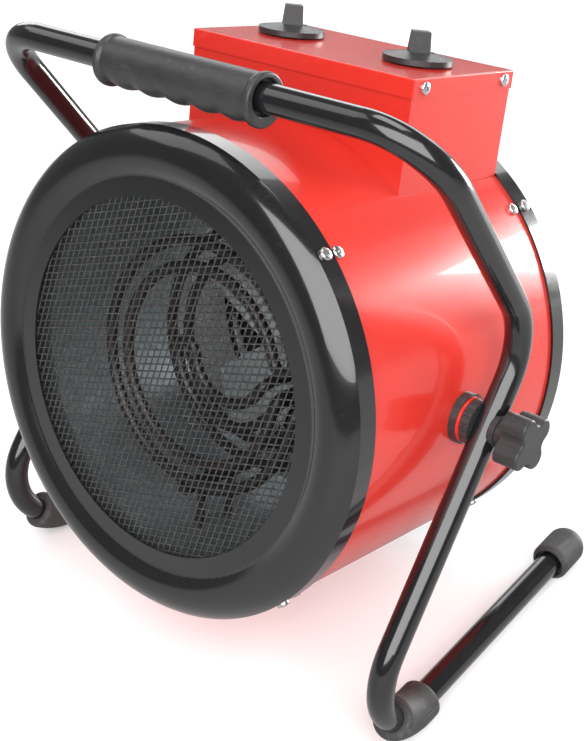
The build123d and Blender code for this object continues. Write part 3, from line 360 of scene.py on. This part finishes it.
galvanised = {
    "light": (0.235, 0.275, 0.295), "dark": (0.20, 0.235, 0.255), "stain": (0.16, 0.17, 0.175),
    "stained": 0.25, "rough": (0.36, 0.46), "size": 190.0, "depth": 0.02 * mm,
}


def makeGalvanised():
    material, tree, shader = newMaterial("galvanisedSheet", {"Metallic": 0.6})
    spangle = fillGroup(tree, "spangle", {"Size": galvanised["size"]})
    cloud = fillGroup(tree, "cloud", {"Patches": 10.0, "Fine": 400.0, "Mix": 0.4})
    flat = colourMix(tree, spangle.outputs["Tone"], galvanised["dark"], galvanised["light"])
    cover = spread(tree, cloud.outputs["Tone"], 0.0, galvanised["stained"])
    stained = colourMix(tree, cover, flat, galvanised["stain"])
    tree.links.new(stained, shader.inputs["Base Color"])
    tree.links.new(spread(tree, spangle.outputs["Tone"], *galvanised["rough"]), shader.inputs["Roughness"])
    relief(tree, shader, spangle.outputs["Height"], galvanised["depth"])
    return material


sheath = {
    "cool": (0.058, 0.056, 0.055), "hot": (0.085, 0.075, 0.068), "blue": (0.048, 0.052, 0.060),
    "tint": 0.6, "rough": (0.26, 0.40), "depth": 0.05 * mm,
}


def makeSheath():
    # steel tube tinted brown and blue by its own heat
    material, tree, shader = newMaterial("heatTintedSheath", {"Metallic": 0.75})
    cloud = fillGroup(tree, "cloud", {"Patches": 26.0, "Fine": 500.0, "Mix": 0.3})
    bands = fillGroup(tree, "cloud", {"Patches": 48.0, "Fine": 90.0, "Mix": 0.5})
    brown = colourMix(tree, spread(tree, cloud.outputs["Tone"], 0.0, 1.0), sheath["cool"], sheath["hot"])
    tint = colourMix(tree, spread(tree, bands.outputs["Tone"], 0.0, sheath["tint"]), brown, sheath["blue"])
    tree.links.new(tint, shader.inputs["Base Color"])
    tree.links.new(spread(tree, cloud.outputs["Tone"], *sheath["rough"]), shader.inputs["Roughness"])
    grain = fillGroup(tree, "grain", {"Grain": 1800.0})
    relief(tree, shader, grain.outputs["Height"], sheath["depth"])
    return material


netMetal = {
    "dark": (0.036, 0.034, 0.033), "light": (0.076, 0.072, 0.069), "cut": (0.24, 0.225, 0.21),
    "cutTone": 0.3, "rough": (0.26, 0.40), "depth": 0.04 * mm,
}


def makeNetMetal():
    # sheared and stretched sheet under a thin lacquer, brighter where it was cut
    material, tree, shader = newMaterial("expandedSheet", {"Metallic": 0.4, "Coat Weight": 0.15})
    cloud = fillGroup(tree, "cloud", {"Patches": 30.0, "Fine": 900.0, "Mix": 0.6})
    scuffs = fillGroup(tree, "scuffs", {"Density": 90.0, "Cover": 0.6})
    tone = spread(tree, cloud.outputs["Tone"], 0.0, 1.0)
    base = colourMix(tree, tone, netMetal["dark"], netMetal["light"])
    edges = mathNode(tree, "MULTIPLY", scuffs.outputs["Mask"], netMetal["cutTone"])
    tree.links.new(colourMix(tree, edges, base, netMetal["cut"]), shader.inputs["Base Color"])
    tree.links.new(spread(tree, cloud.outputs["Tone"], *netMetal["rough"]), shader.inputs["Roughness"])
    relief(tree, shader, cloud.outputs["Tone"], netMetal["depth"])
    return material


finishes = {
    "red_powder_coat": makeCoat("redPowderCoat", redCoat),
    "black_powder_coat": makeCoat("blackPowderCoat", blackCoat),
    "dark_plastic": makeCoat("satinPlastic", gripPlastic),
    "foot_rubber": makeCoat("footRubber", footRubber),
    "fan_metal": makeCoat("fanPaint", fanPaint),
    "motor_paint": makeCoat("motorPaint", motorPaint),
    "switch_plastic": makeCoat("switchPlastic", switchPlastic),
    "cream_plastic": makeCoat("creamPlastic", creamPlastic),
    "zinc_steel": makeZinc(),
    "galvanised_sheet": makeGalvanised(),
    "element_sheath": makeSheath(),
    "mesh_metal": makeNetMetal(),
}


# near-white tone of the bare sheet inside the drum: painted reflection of the bright surround, a lit copy of the
# galvanised sheet
litDrumInside = {"light": (0.84, 0.88, 0.90), "dark": (0.78, 0.82, 0.84), "rough": 0.42, "metallic": 0.1}


def makeDrumSkin():
    # the drum is sprayed outside only, its inside is bare sheet; that sheet's near-white tone is painted light, a
    # painted reflection of the bright surround
    material = finishes["red_powder_coat"].copy()
    material.name = "drumSkin"
    tree = material.node_tree
    shader = tree.nodes["Principled BSDF"]
    inside = fillGroup(tree, "inside", {}).outputs["Mask"]
    spangle = fillGroup(tree, "spangle", {"Size": galvanised["size"]}).outputs["Tone"]
    bare = colourMix(tree, spangle, litDrumInside["dark"], litDrumInside["light"])
    sprayed = shader.inputs["Base Color"].links[0].from_socket
    tree.links.new(colourMix(tree, inside, sprayed, bare), shader.inputs["Base Color"])
    gloss = shader.inputs["Roughness"].links[0].from_socket
    both = addNode(tree, "ShaderNodeMix", {0: inside, 2: gloss, 3: litDrumInside["rough"]})
    tree.links.new(both.outputs[0], shader.inputs["Roughness"])
    tree.links.new(mathNode(tree, "MULTIPLY", inside, litDrumInside["metallic"]), shader.inputs["Metallic"])
    outside = mathNode(tree, "SUBTRACT", 1.0, inside)
    coat = mathNode(tree, "MULTIPLY", outside, redCoat["shader"]["Coat Weight"])
    tree.links.new(coat, shader.inputs["Coat Weight"])
    return material


slotOf = {part["node"]: part["material_slot"] for part in frame["record"]["subparts"]}
for name, node in nodes.items():
    node.data.materials.clear()
    node.data.materials.append(finishes[slotOf[name]])
nodes["drum_shell"].data.materials[0] = makeDrumSkin()
print("finishes on the CAD nodes:", len(finishes))


# pieces

def settle(piece, body, slot, *replaced):
    # the piece rides on its body, takes the slot's finish and stands for the CAD nodes named
    piece.data.materials.clear()
    piece.data.materials.append(finishes[slot])
    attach(piece, body)
    if replaced:
        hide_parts(*replaced)
    return piece


def newObject(name, mesh, place=None):
    if place is not None:
        mesh.transform(place)
    piece = bpy.data.objects.new(name, mesh)
    bpy.context.scene.collection.objects.link(piece)
    return piece


def smooth(mesh, angle):
    mesh.shade_smooth()
    mesh.set_sharp_from_angle(angle=math.radians(angle))


def meshFrom(name, points, faces, angle=None):
    mesh = bpy.data.meshes.new(name)
    mesh.from_pydata(points, [], faces)
    work = bmesh.new()
    work.from_mesh(mesh)
    bmesh.ops.remove_doubles(work, verts=work.verts, dist=1e-7)
    bmesh.ops.recalc_face_normals(work, faces=work.faces)
    work.to_mesh(mesh)
    work.free()
    if angle:
        smooth(mesh, angle)
    return mesh


def runTree(name, tree, values, source=None, place=None):
    # evaluate a node tree on an object and keep the result as a plain mesh
    holder = bpy.data.objects.new("holder", source or bpy.data.meshes.new("empty"))
    bpy.context.scene.collection.objects.link(holder)
    modifier = holder.modifiers.new("shape", "NODES")
    modifier.node_group = tree
    for item in tree.interface.items_tree:
        if item.item_type == "SOCKET" and item.in_out == "INPUT" and item.name in values:
            modifier[item.identifier] = values[item.name]
    made = holder.evaluated_get(bpy.context.evaluated_depsgraph_get())
    mesh = bpy.data.meshes.new_from_object(made)
    bpy.data.objects.remove(holder)
    mesh.name = name
    return newObject(name, mesh, place)


# expanded metal behind each guard ring
net = {
    "reach": 123.5 * mm, "step": 2.72 * mm, "wave": 10.05 * mm, "width": 0.95 * mm, "sheet": 0.80 * mm,
    "turn": math.radians(46), "lean": math.radians(30), "frontY": -115.18 * mm, "rearY": 125.68 * mm,
}


netInputs = {
    "Reach": "reach", "Strand Step": "step", "Wave Length": "wave", "Strand Width": "width", "Sheet": "sheet",
    "Turn": "turn", "Lean": "lean",
}


def makeNetTree():
    tree = bpy.data.node_groups.new("expandedMetal", "GeometryNodeTree")
    given, put = addSockets(
        tree,
        [("Geometry", "Geometry", None)]
        + [(name, "Float", net[key]) for name, key in netInputs.items()]
        + [("Material", "Material", None)],
        [("Geometry", "Geometry")])
    across = mathNode(tree, "MULTIPLY", given["Reach"], 2.0)
    stepX = mathNode(tree, "DIVIDE", given["Wave Length"], 4.0)
    countX = mathNode(tree, "CEIL", mathNode(tree, "DIVIDE", across, stepX))
    countY = mathNode(tree, "CEIL", mathNode(tree, "DIVIDE", across, given["Strand Step"]))
    grid = addNode(tree, "GeometryNodeMeshGrid", {
        "Size X": mathNode(tree, "MULTIPLY", countX, stepX),
        "Size Y": mathNode(tree, "MULTIPLY", countY, given["Strand Step"]),
        "Vertices X": mathNode(tree, "ADD", countX, 1.0),
        "Vertices Y": mathNode(tree, "ADD", countY, 1.0)})
    ends = addNode(tree, "GeometryNodeInputMeshEdgeVertices")
    between = vectorMath(tree, "SUBTRACT", ends.outputs["Position 1"], ends.outputs["Position 2"])
    parts = addNode(tree, "ShaderNodeSeparateXYZ", {"Vector": between})
    isRung = mathNode(tree, "GREATER_THAN", mathNode(tree, "ABSOLUTE", parts.outputs["Y"]), net["step"] / 2)
    strands = addNode(
        tree, "GeometryNodeDeleteGeometry", {"Geometry": grid.outputs["Mesh"], "Selection": isRung},
        domain="EDGE", mode="EDGE_FACE")
    # each strand steps up and down by turns, and its neighbours mirror it, so they meet in bonds
    index = addNode(tree, "GeometryNodeInputIndex").outputs["Index"]
    rows = mathNode(tree, "ADD", countY, 1.0)
    column = mathNode(tree, "FLOOR", mathNode(tree, "DIVIDE", mathNode(tree, "ADD", index, 0.5), rows))
    row = mathNode(tree, "SUBTRACT", index, mathNode(tree, "MULTIPLY", column, rows))
    quarter = mathNode(tree, "MODULO", column, 4.0)
    up = mathNode(tree, "SUBTRACT", 1.0, mathNode(
        tree, "MULTIPLY", 2.0, mathNode(tree, "GREATER_THAN", quarter, 1.5)))
    side = mathNode(tree, "SUBTRACT", 1.0, mathNode(
        tree, "MULTIPLY", 2.0, mathNode(tree, "MODULO", quarter, 2.0)))
    flip = mathNode(tree, "SUBTRACT", 1.0, mathNode(tree, "MULTIPLY", 2.0, mathNode(
        tree, "MODULO", mathNode(tree, "ROUND", row), 2.0)))
    slide = mathNode(tree, "MULTIPLY", side, mathNode(tree, "MULTIPLY", stepX, 0.27))
    rise = mathNode(tree, "SUBTRACT", mathNode(tree, "MULTIPLY", given["Strand Step"], 0.5),
                    mathNode(tree, "MULTIPLY", given["Strand Width"], 0.22))
    lift = mathNode(tree, "MULTIPLY", mathNode(tree, "MULTIPLY", up, flip), rise)
    offset = addNode(tree, "ShaderNodeCombineXYZ", {"X": slide, "Y": lift})
    waved = addNode(tree, "GeometryNodeSetPosition", {
        "Geometry": strands.outputs["Geometry"], "Offset": offset.outputs["Vector"]})
    radius = vectorMath(tree, "LENGTH", addNode(tree, "GeometryNodeInputPosition").outputs["Position"])
    outside = mathNode(tree, "GREATER_THAN", radius, given["Reach"])
    disc = addNode(
        tree, "GeometryNodeDeleteGeometry", {"Geometry": waved.outputs["Geometry"], "Selection": outside},
        domain="POINT", mode="ALL")
    lines = addNode(tree, "GeometryNodeMeshToCurve", {"Mesh": disc.outputs["Geometry"]})
    upright = addNode(tree, "GeometryNodeSetCurveNormal", {"Curve": lines.outputs["Curve"]}, mode="Z_UP")
    leaning = addNode(
        tree, "GeometryNodeSetCurveTilt", {"Curve": upright.outputs["Curve"], "Tilt": given["Lean"]})
    section = addNode(tree, "GeometryNodeCurvePrimitiveQuadrilateral", {
        "Width": given["Strand Width"], "Height": given["Sheet"]}, mode="RECTANGLE")
    solid = addNode(tree, "GeometryNodeCurveToMesh", {
        "Curve": leaning.outputs["Curve"], "Profile Curve": section.outputs["Curve"], "Fill Caps": True})
    spin = addNode(tree, "ShaderNodeCombineXYZ", {"Z": given["Turn"]})
    turned = addNode(tree, "GeometryNodeTransform", {
        "Geometry": solid.outputs["Mesh"], "Rotation": spin.outputs["Vector"]})
    finishTree(tree, turned.outputs["Geometry"], given["Material"], put["Geometry"])
    return tree


def finishTree(tree, geometry, material, out):
    real = addNode(tree, "GeometryNodeRealizeInstances", {"Geometry": geometry})
    dressed = addNode(tree, "GeometryNodeSetMaterial", {
        "Geometry": real.outputs["Geometry"], "Material": material})
    tree.links.new(dressed.outputs["Geometry"], out)


netTree = makeNetTree()
netPlaces = {
    "front_mesh": Matrix.Translation((0, net["frontY"], 0)) @ onXZ,
    "rear_mesh": Matrix.Translation((0, net["rearY"], 0)) @ Matrix.Rotation(math.pi, 4, "Z") @ onXZ,
}
for node, place in netPlaces.items():
    values = {name: net[key] for name, key in netInputs.items()}
    values["Material"] = finishes["mesh_metal"]
    piece = runTree(node + "_strands", netTree, values, place=drumPlace @ place)
    settle(piece, "drum", "mesh_metal", node)
    print("expanded metal:", node, len(piece.data.polygons), "faces")


# pan head screws with a cross recess
screw = {
    "radius": 4.25 * mm, "height": 2.4 * mm, "shank": 1.95 * mm, "length": 6.0 * mm, "slot": 4.6 * mm,
    "slotWidth": 1.0 * mm, "slotDepth": 1.5 * mm, "steps": 28,
}


def makeScrewHead():
    # half outline from the crown to the shank, turned round +Z; z = 0 is the seat
    crown = 5
    outline = [(0, screw["height"])]
    for step in range(1, crown + 1):
        turn = math.radians(90) * step / crown
        outline.append((screw["radius"] * (0.35 + 0.65 * math.sin(turn)),
                        screw["height"] * (0.42 + 0.58 * math.cos(turn))))
    outline += [(screw["radius"], 0), (screw["shank"], 0),
                (screw["shank"], -screw["length"]), (0, -screw["length"])]
    steps = screw["steps"]
    points = [(r * math.cos(2 * math.pi * s / steps), r * math.sin(2 * math.pi * s / steps), z)
              for r, z in outline for s in range(steps)]
    faces = [(ring * steps + s, ring * steps + (s + 1) % steps, (ring + 1) * steps + (s + 1) % steps,
              (ring + 1) * steps + s) for ring in range(len(outline) - 1) for s in range(steps)]
    head = newObject("screwHead", meshFrom("screwHead", points, faces))
    cutters = []
    for turn in (0, 90):
        cutter = bmesh.new()
        bmesh.ops.create_cube(cutter, size=1)
        slot = (screw["slot"], screw["slotWidth"], screw["slotDepth"] * 2)
        bmesh.ops.scale(cutter, vec=slot, verts=cutter.verts)
        low = [v for v in cutter.verts if v.co.z < 0]
        bmesh.ops.scale(cutter, vec=(0.55, 0.7, 1), verts=low)
        mesh = bpy.data.meshes.new("recess")
        cutter.to_mesh(mesh)
        cutter.free()
        quarter = Matrix.Rotation(math.radians(turn), 4, "Z")
        mesh.transform(Matrix.Translation((0, 0, screw["height"])) @ quarter)
        recess = newObject("recess", mesh)
        cut = head.modifiers.new("recess", "BOOLEAN")
        cut.operation, cut.solver, cut.object = "DIFFERENCE", "EXACT", recess
        cutters.append(recess)
    mesh = bpy.data.meshes.new_from_object(head.evaluated_get(bpy.context.evaluated_depsgraph_get()))
    for spare in cutters + [head]:
        bpy.data.objects.remove(spare)
    smooth(mesh, 32)
    return newObject("screwHead", mesh)


def makeScrewTree():
    # one screw on every point, its head along the point's "outward", turned at random
    tree = bpy.data.node_groups.new("screwsOnPoints", "GeometryNodeTree")
    given, put = addSockets(
        tree,
        [("Geometry", "Geometry", None), ("Screw", "Object", None), ("Seed", "Int", 4),
         ("Material", "Material", None)],
        [("Geometry", "Geometry")])
    head = addNode(tree, "GeometryNodeObjectInfo", {"Object": given["Screw"]})
    outward = addNode(
        tree, "GeometryNodeInputNamedAttribute", {"Name": "outward"}, data_type="FLOAT_VECTOR")
    aimed = addNode(
        tree, "FunctionNodeAlignRotationToVector", {"Vector": outward.outputs["Attribute"]}, axis="Z")
    spin = addNode(tree, "FunctionNodeRandomValue", {"Max": 6.28, "Seed": given["Seed"]}, data_type="FLOAT")
    own = addNode(tree, "ShaderNodeCombineXYZ", {"Z": spin.outputs[1]})
    turned = addNode(tree, "FunctionNodeRotateRotation", {
        "Rotation": aimed.outputs["Rotation"], "Rotate By": own.outputs["Vector"]}, rotation_space="LOCAL")
    rows = addNode(tree, "GeometryNodeInstanceOnPoints", {
        "Points": given["Geometry"], "Instance": head.outputs["Geometry"],
        "Rotation": turned.outputs["Rotation"]})
    finishTree(tree, rows.outputs["Instances"], given["Material"], put["Geometry"])
    return tree


def pointCloud(spots):
    mesh = bpy.data.meshes.new("spots")
    mesh.from_pydata([spot for spot, _ in spots], [], [])
    outward = mesh.attributes.new("outward", "FLOAT_VECTOR", "POINT")
    outward.data.foreach_set("vector", [value for _, way in spots for value in way])
    return mesh


rows = {  # place along the drum, radius of the seat
    "front_ring_screws": (-104.4 * mm, 164.4 * mm), "front_drum_screws": (-91.5 * mm, 162.5 * mm),
    "rear_drum_screws": (102.0 * mm, 162.5 * mm), "rear_ring_screws": (114.9 * mm, 164.4 * mm),
}
lidScrews = {"x": 94.9 * mm, "z": 200.1 * mm, "y": (4.0 * mm, 96.0 * mm)}
screwHead = makeScrewHead()
screwTree = makeScrewTree()
screwSpots = {}
for name, (y, seat) in rows.items():
    ways = [Vector((math.cos(a), 0, math.sin(a))) for a in (math.radians(45 + 90 * k) for k in range(4))]
    screwSpots[name] = [(way * (seat + 0.1 * mm) + Vector((0, y, 0)), way) for way in ways]
screwSpots["lid_screws"] = [(Vector((side * lidScrews["x"], y, lidScrews["z"])), Vector((side, 0, 0)))
                            for side in (-1, 1) for y in lidScrews["y"]]
for seed, (name, spots) in enumerate(screwSpots.items()):
    piece = runTree(name.replace("_screws", "_pan_screws"), screwTree, {
        "Screw": screwHead, "Seed": seed, "Material": finishes["zinc_steel"]}, pointCloud(spots), drumPlace)
    smooth(piece.data, 32)
    settle(piece, "drum", "zinc_steel", name)
bpy.data.objects.remove(screwHead)
print("screws placed:", sum(len(spots) for spots in screwSpots.values()))


# moulded hand grip: flat on top, waved underneath, a lip at each end
grip = {
    "half": 65.5 * mm, "top": 13.3 * mm, "valley": 15.3 * mm, "bump": 17.3 * mm, "pitch": 23.2 * mm,
    "bumps": 5, "lipTop": 14.6 * mm, "lipBottom": 18.2 * mm, "lip": 3.5 * mm, "blend": 2.2 * mm,
    "edge": 1.5 * mm, "bore": 9.1 * mm, "mouth": 11.4 * mm, "mouthDepth": 4.0 * mm, "steps": 56,
    "stations": 132,
}


def gripSection(x):
    # height over and under the tube's axis at a place along the grip
    reach = grip["pitch"] * grip["bumps"] / 2
    wave = 0.5 + 0.5 * math.cos(2 * math.pi * x / grip["pitch"]) if abs(x) < reach else 0.0
    wave = wave ** 0.8
    under = grip["valley"] + (grip["bump"] - grip["valley"]) * wave
    inside = grip["half"] - abs(x)
    lip = max(0.0, min(1.0, (grip["lip"] + grip["blend"] - inside) / grip["blend"]))
    lip = lip * lip * (3 - 2 * lip)
    over = grip["top"] + (grip["lipTop"] - grip["top"]) * lip
    return over, under + (grip["lipBottom"] - under) * lip


def gripStations():
    # (x, height over the axis, depth under it), along the outside, then back through the bore
    half, edge = grip["half"], grip["edge"]
    over, under = grip["lipTop"], grip["lipBottom"]
    start = [(-half + grip["mouthDepth"], grip["bore"], grip["bore"]),
             (-half + grip["mouthDepth"], grip["mouth"], grip["mouth"]),
             (-half + 0.4 * mm, grip["mouth"], grip["mouth"]),
             (-half, grip["mouth"] + 0.5 * mm, grip["mouth"] + 0.5 * mm)]
    rim = []
    for step in range(6):
        turn = math.radians(90) * step / 5
        cut = edge * (1 - math.sin(turn))
        rim.append((-half + edge * (1 - math.cos(turn)), over - cut, under - cut))
    middle = []
    low, high = -half + edge + 0.2 * mm, half - edge - 0.2 * mm
    for step in range(grip["stations"] + 1):
        x = low + (high - low) * step / grip["stations"]
        middle.append((x, *gripSection(x)))
    left = start + rim
    right = [(-x, a, b) for x, a, b in reversed(left)]
    return left + middle + right


def makeGrip():
    stations = gripStations()
    steps = grip["steps"]
    points, faces = [], []
    for x, over, under in stations:
        radius, drop = (over + under) / 2, (under - over) / 2
        for s in range(steps):
            turn = 2 * math.pi * s / steps
            points.append((x, radius * math.cos(turn), radius * math.sin(turn) - drop))
    for ring in range(len(stations)):
        after = (ring + 1) % len(stations)
        for s in range(steps):
            t = (s + 1) % steps
            faces.append((ring * steps + s, ring * steps + t, after * steps + t, after * steps + s))
    low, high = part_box("handle_grip")
    axis = Vector(((low.x + high.x) / 2, (low.y + high.y) / 2, high.z - grip["lipTop"]))
    mesh = meshFrom("hand_grip", points, faces, 38)
    return newObject("hand_grip", mesh, Matrix.Translation(axis))


settle(makeGrip(), "stand", "dark_plastic", "handle_grip")
print("hand grip made")


# studio: pale floor, wide soft lights, bright surround

studio = {
    "floor": 6.0, "floorTone": (0.80, 0.80, 0.80), "floorGlow": 0.2, "mirrored": 0.45, "surround": 0.16,
    "lamps": {  # direction from straight ahead of the outlet towards +X, and height, in degrees
        "key": {"turn": 38, "rise": 37, "away": 2.2, "size": (2.9, 1.9), "watts": 92},
        "back": {"turn": -146, "rise": 20, "away": 3.2, "size": (4.4, 1.4), "watts": 46},
        "inner": {"turn": 162, "rise": 4, "away": 2.4, "size": (1.0, 0.8), "watts": 60},
        "over": {"turn": 180, "rise": 78, "away": 2.2, "size": (1.2, 1.2), "watts": 18},
        "left": {"turn": -70, "rise": 50, "away": 2.6, "size": (1.6, 1.6), "watts": 12},
    },
}


def makeFloor():
    half = studio["floor"]
    corners = [(-half, -half, 0), (half, -half, 0), (half, half, 0), (-half, half, 0)]
    mesh = bpy.data.meshes.new("studioFloor")
    mesh.from_pydata(corners, [], [(0, 1, 2, 3)])
    floor = newObject("studioFloor", mesh)
    material, tree, shader = newMaterial("floorPaper", {
        "Roughness": 0.6, "Specular IOR Level": 0.25, "Emission Strength": studio["floorGlow"]})
    cloud = fillGroup(tree, "cloud", {"Patches": 2.0, "Fine": 60.0, "Mix": 0.2})
    tone = studio["floorTone"]
    paper = colourMix(tree, cloud.outputs["Tone"], tone, tuple(v * 0.985 for v in tone))
    # in reflections on paint and metal the paper is painted darker than it is seen directly: painted shade on the
    # floor's reflection only
    gloss = addNode(tree, "ShaderNodeLightPath").outputs["Is Glossy Ray"]
    dim = tuple(v * studio["mirrored"] for v in tone)
    tree.links.new(colourMix(tree, gloss, paper, dim), shader.inputs["Base Color"])
    glow = colourMix(tree, gloss, (1, 1, 1), (studio["mirrored"],) * 3)
    tree.links.new(glow, shader.inputs["Emission Color"])
    mesh.materials.append(material)


def makeLamps():
    for name, lamp in studio["lamps"].items():
        turn, rise = math.radians(lamp["turn"]), math.radians(lamp["rise"])
        level = math.cos(rise)
        way = Vector((math.sin(turn) * level, -math.cos(turn) * level, math.sin(rise)))
        light = bpy.data.lights.new(name, "AREA")
        light.shape = "RECTANGLE"
        light.size, light.size_y = lamp["size"]
        light.energy = lamp["watts"]
        holder = bpy.data.objects.new(name, light)
        holder.location = pivot + way * lamp["away"]
        holder.rotation_euler = (-way).to_track_quat("-Z", "Y").to_euler()
        bpy.context.scene.collection.objects.link(holder)
    world = bpy.data.worlds.new("studio")
    bpy.context.scene.world = world
    world.use_nodes = True
    background = world.node_tree.nodes["Background"]
    background.inputs["Color"].default_value = (1, 1, 1, 1)
    background.inputs["Strength"].default_value = studio["surround"]


camera = {
    "at": (0.54744, -0.59105, 0.66201), "right": (0.75540, 0.65459, -0.02977),
    "down": (0.31833, -0.40631, -0.85649), "ahead": (-0.57274, 0.63752, -0.51530),
    "lens": 62.82, "sensor": 36.0, "shift": (-0.00364, -0.00094),
}


def makeCamera():
    data = bpy.data.cameras.new("camera")
    data.lens, data.sensor_width = camera["lens"], camera["sensor"]
    data.shift_x, data.shift_y = camera["shift"]
    holder = bpy.data.objects.new("camera", data)
    right, down, ahead = (Vector(camera[key]) for key in ("right", "down", "ahead"))
    turn = Matrix((right, -down, -ahead)).transposed().to_4x4()
    holder.matrix_world = Matrix.Translation(camera["at"]) @ turn
    bpy.context.scene.collection.objects.link(holder)
    bpy.context.scene.camera = holder


makeFloor()
makeLamps()
makeCamera()
bpy.context.scene.view_settings.view_transform = "Standard"
print("studio set up")
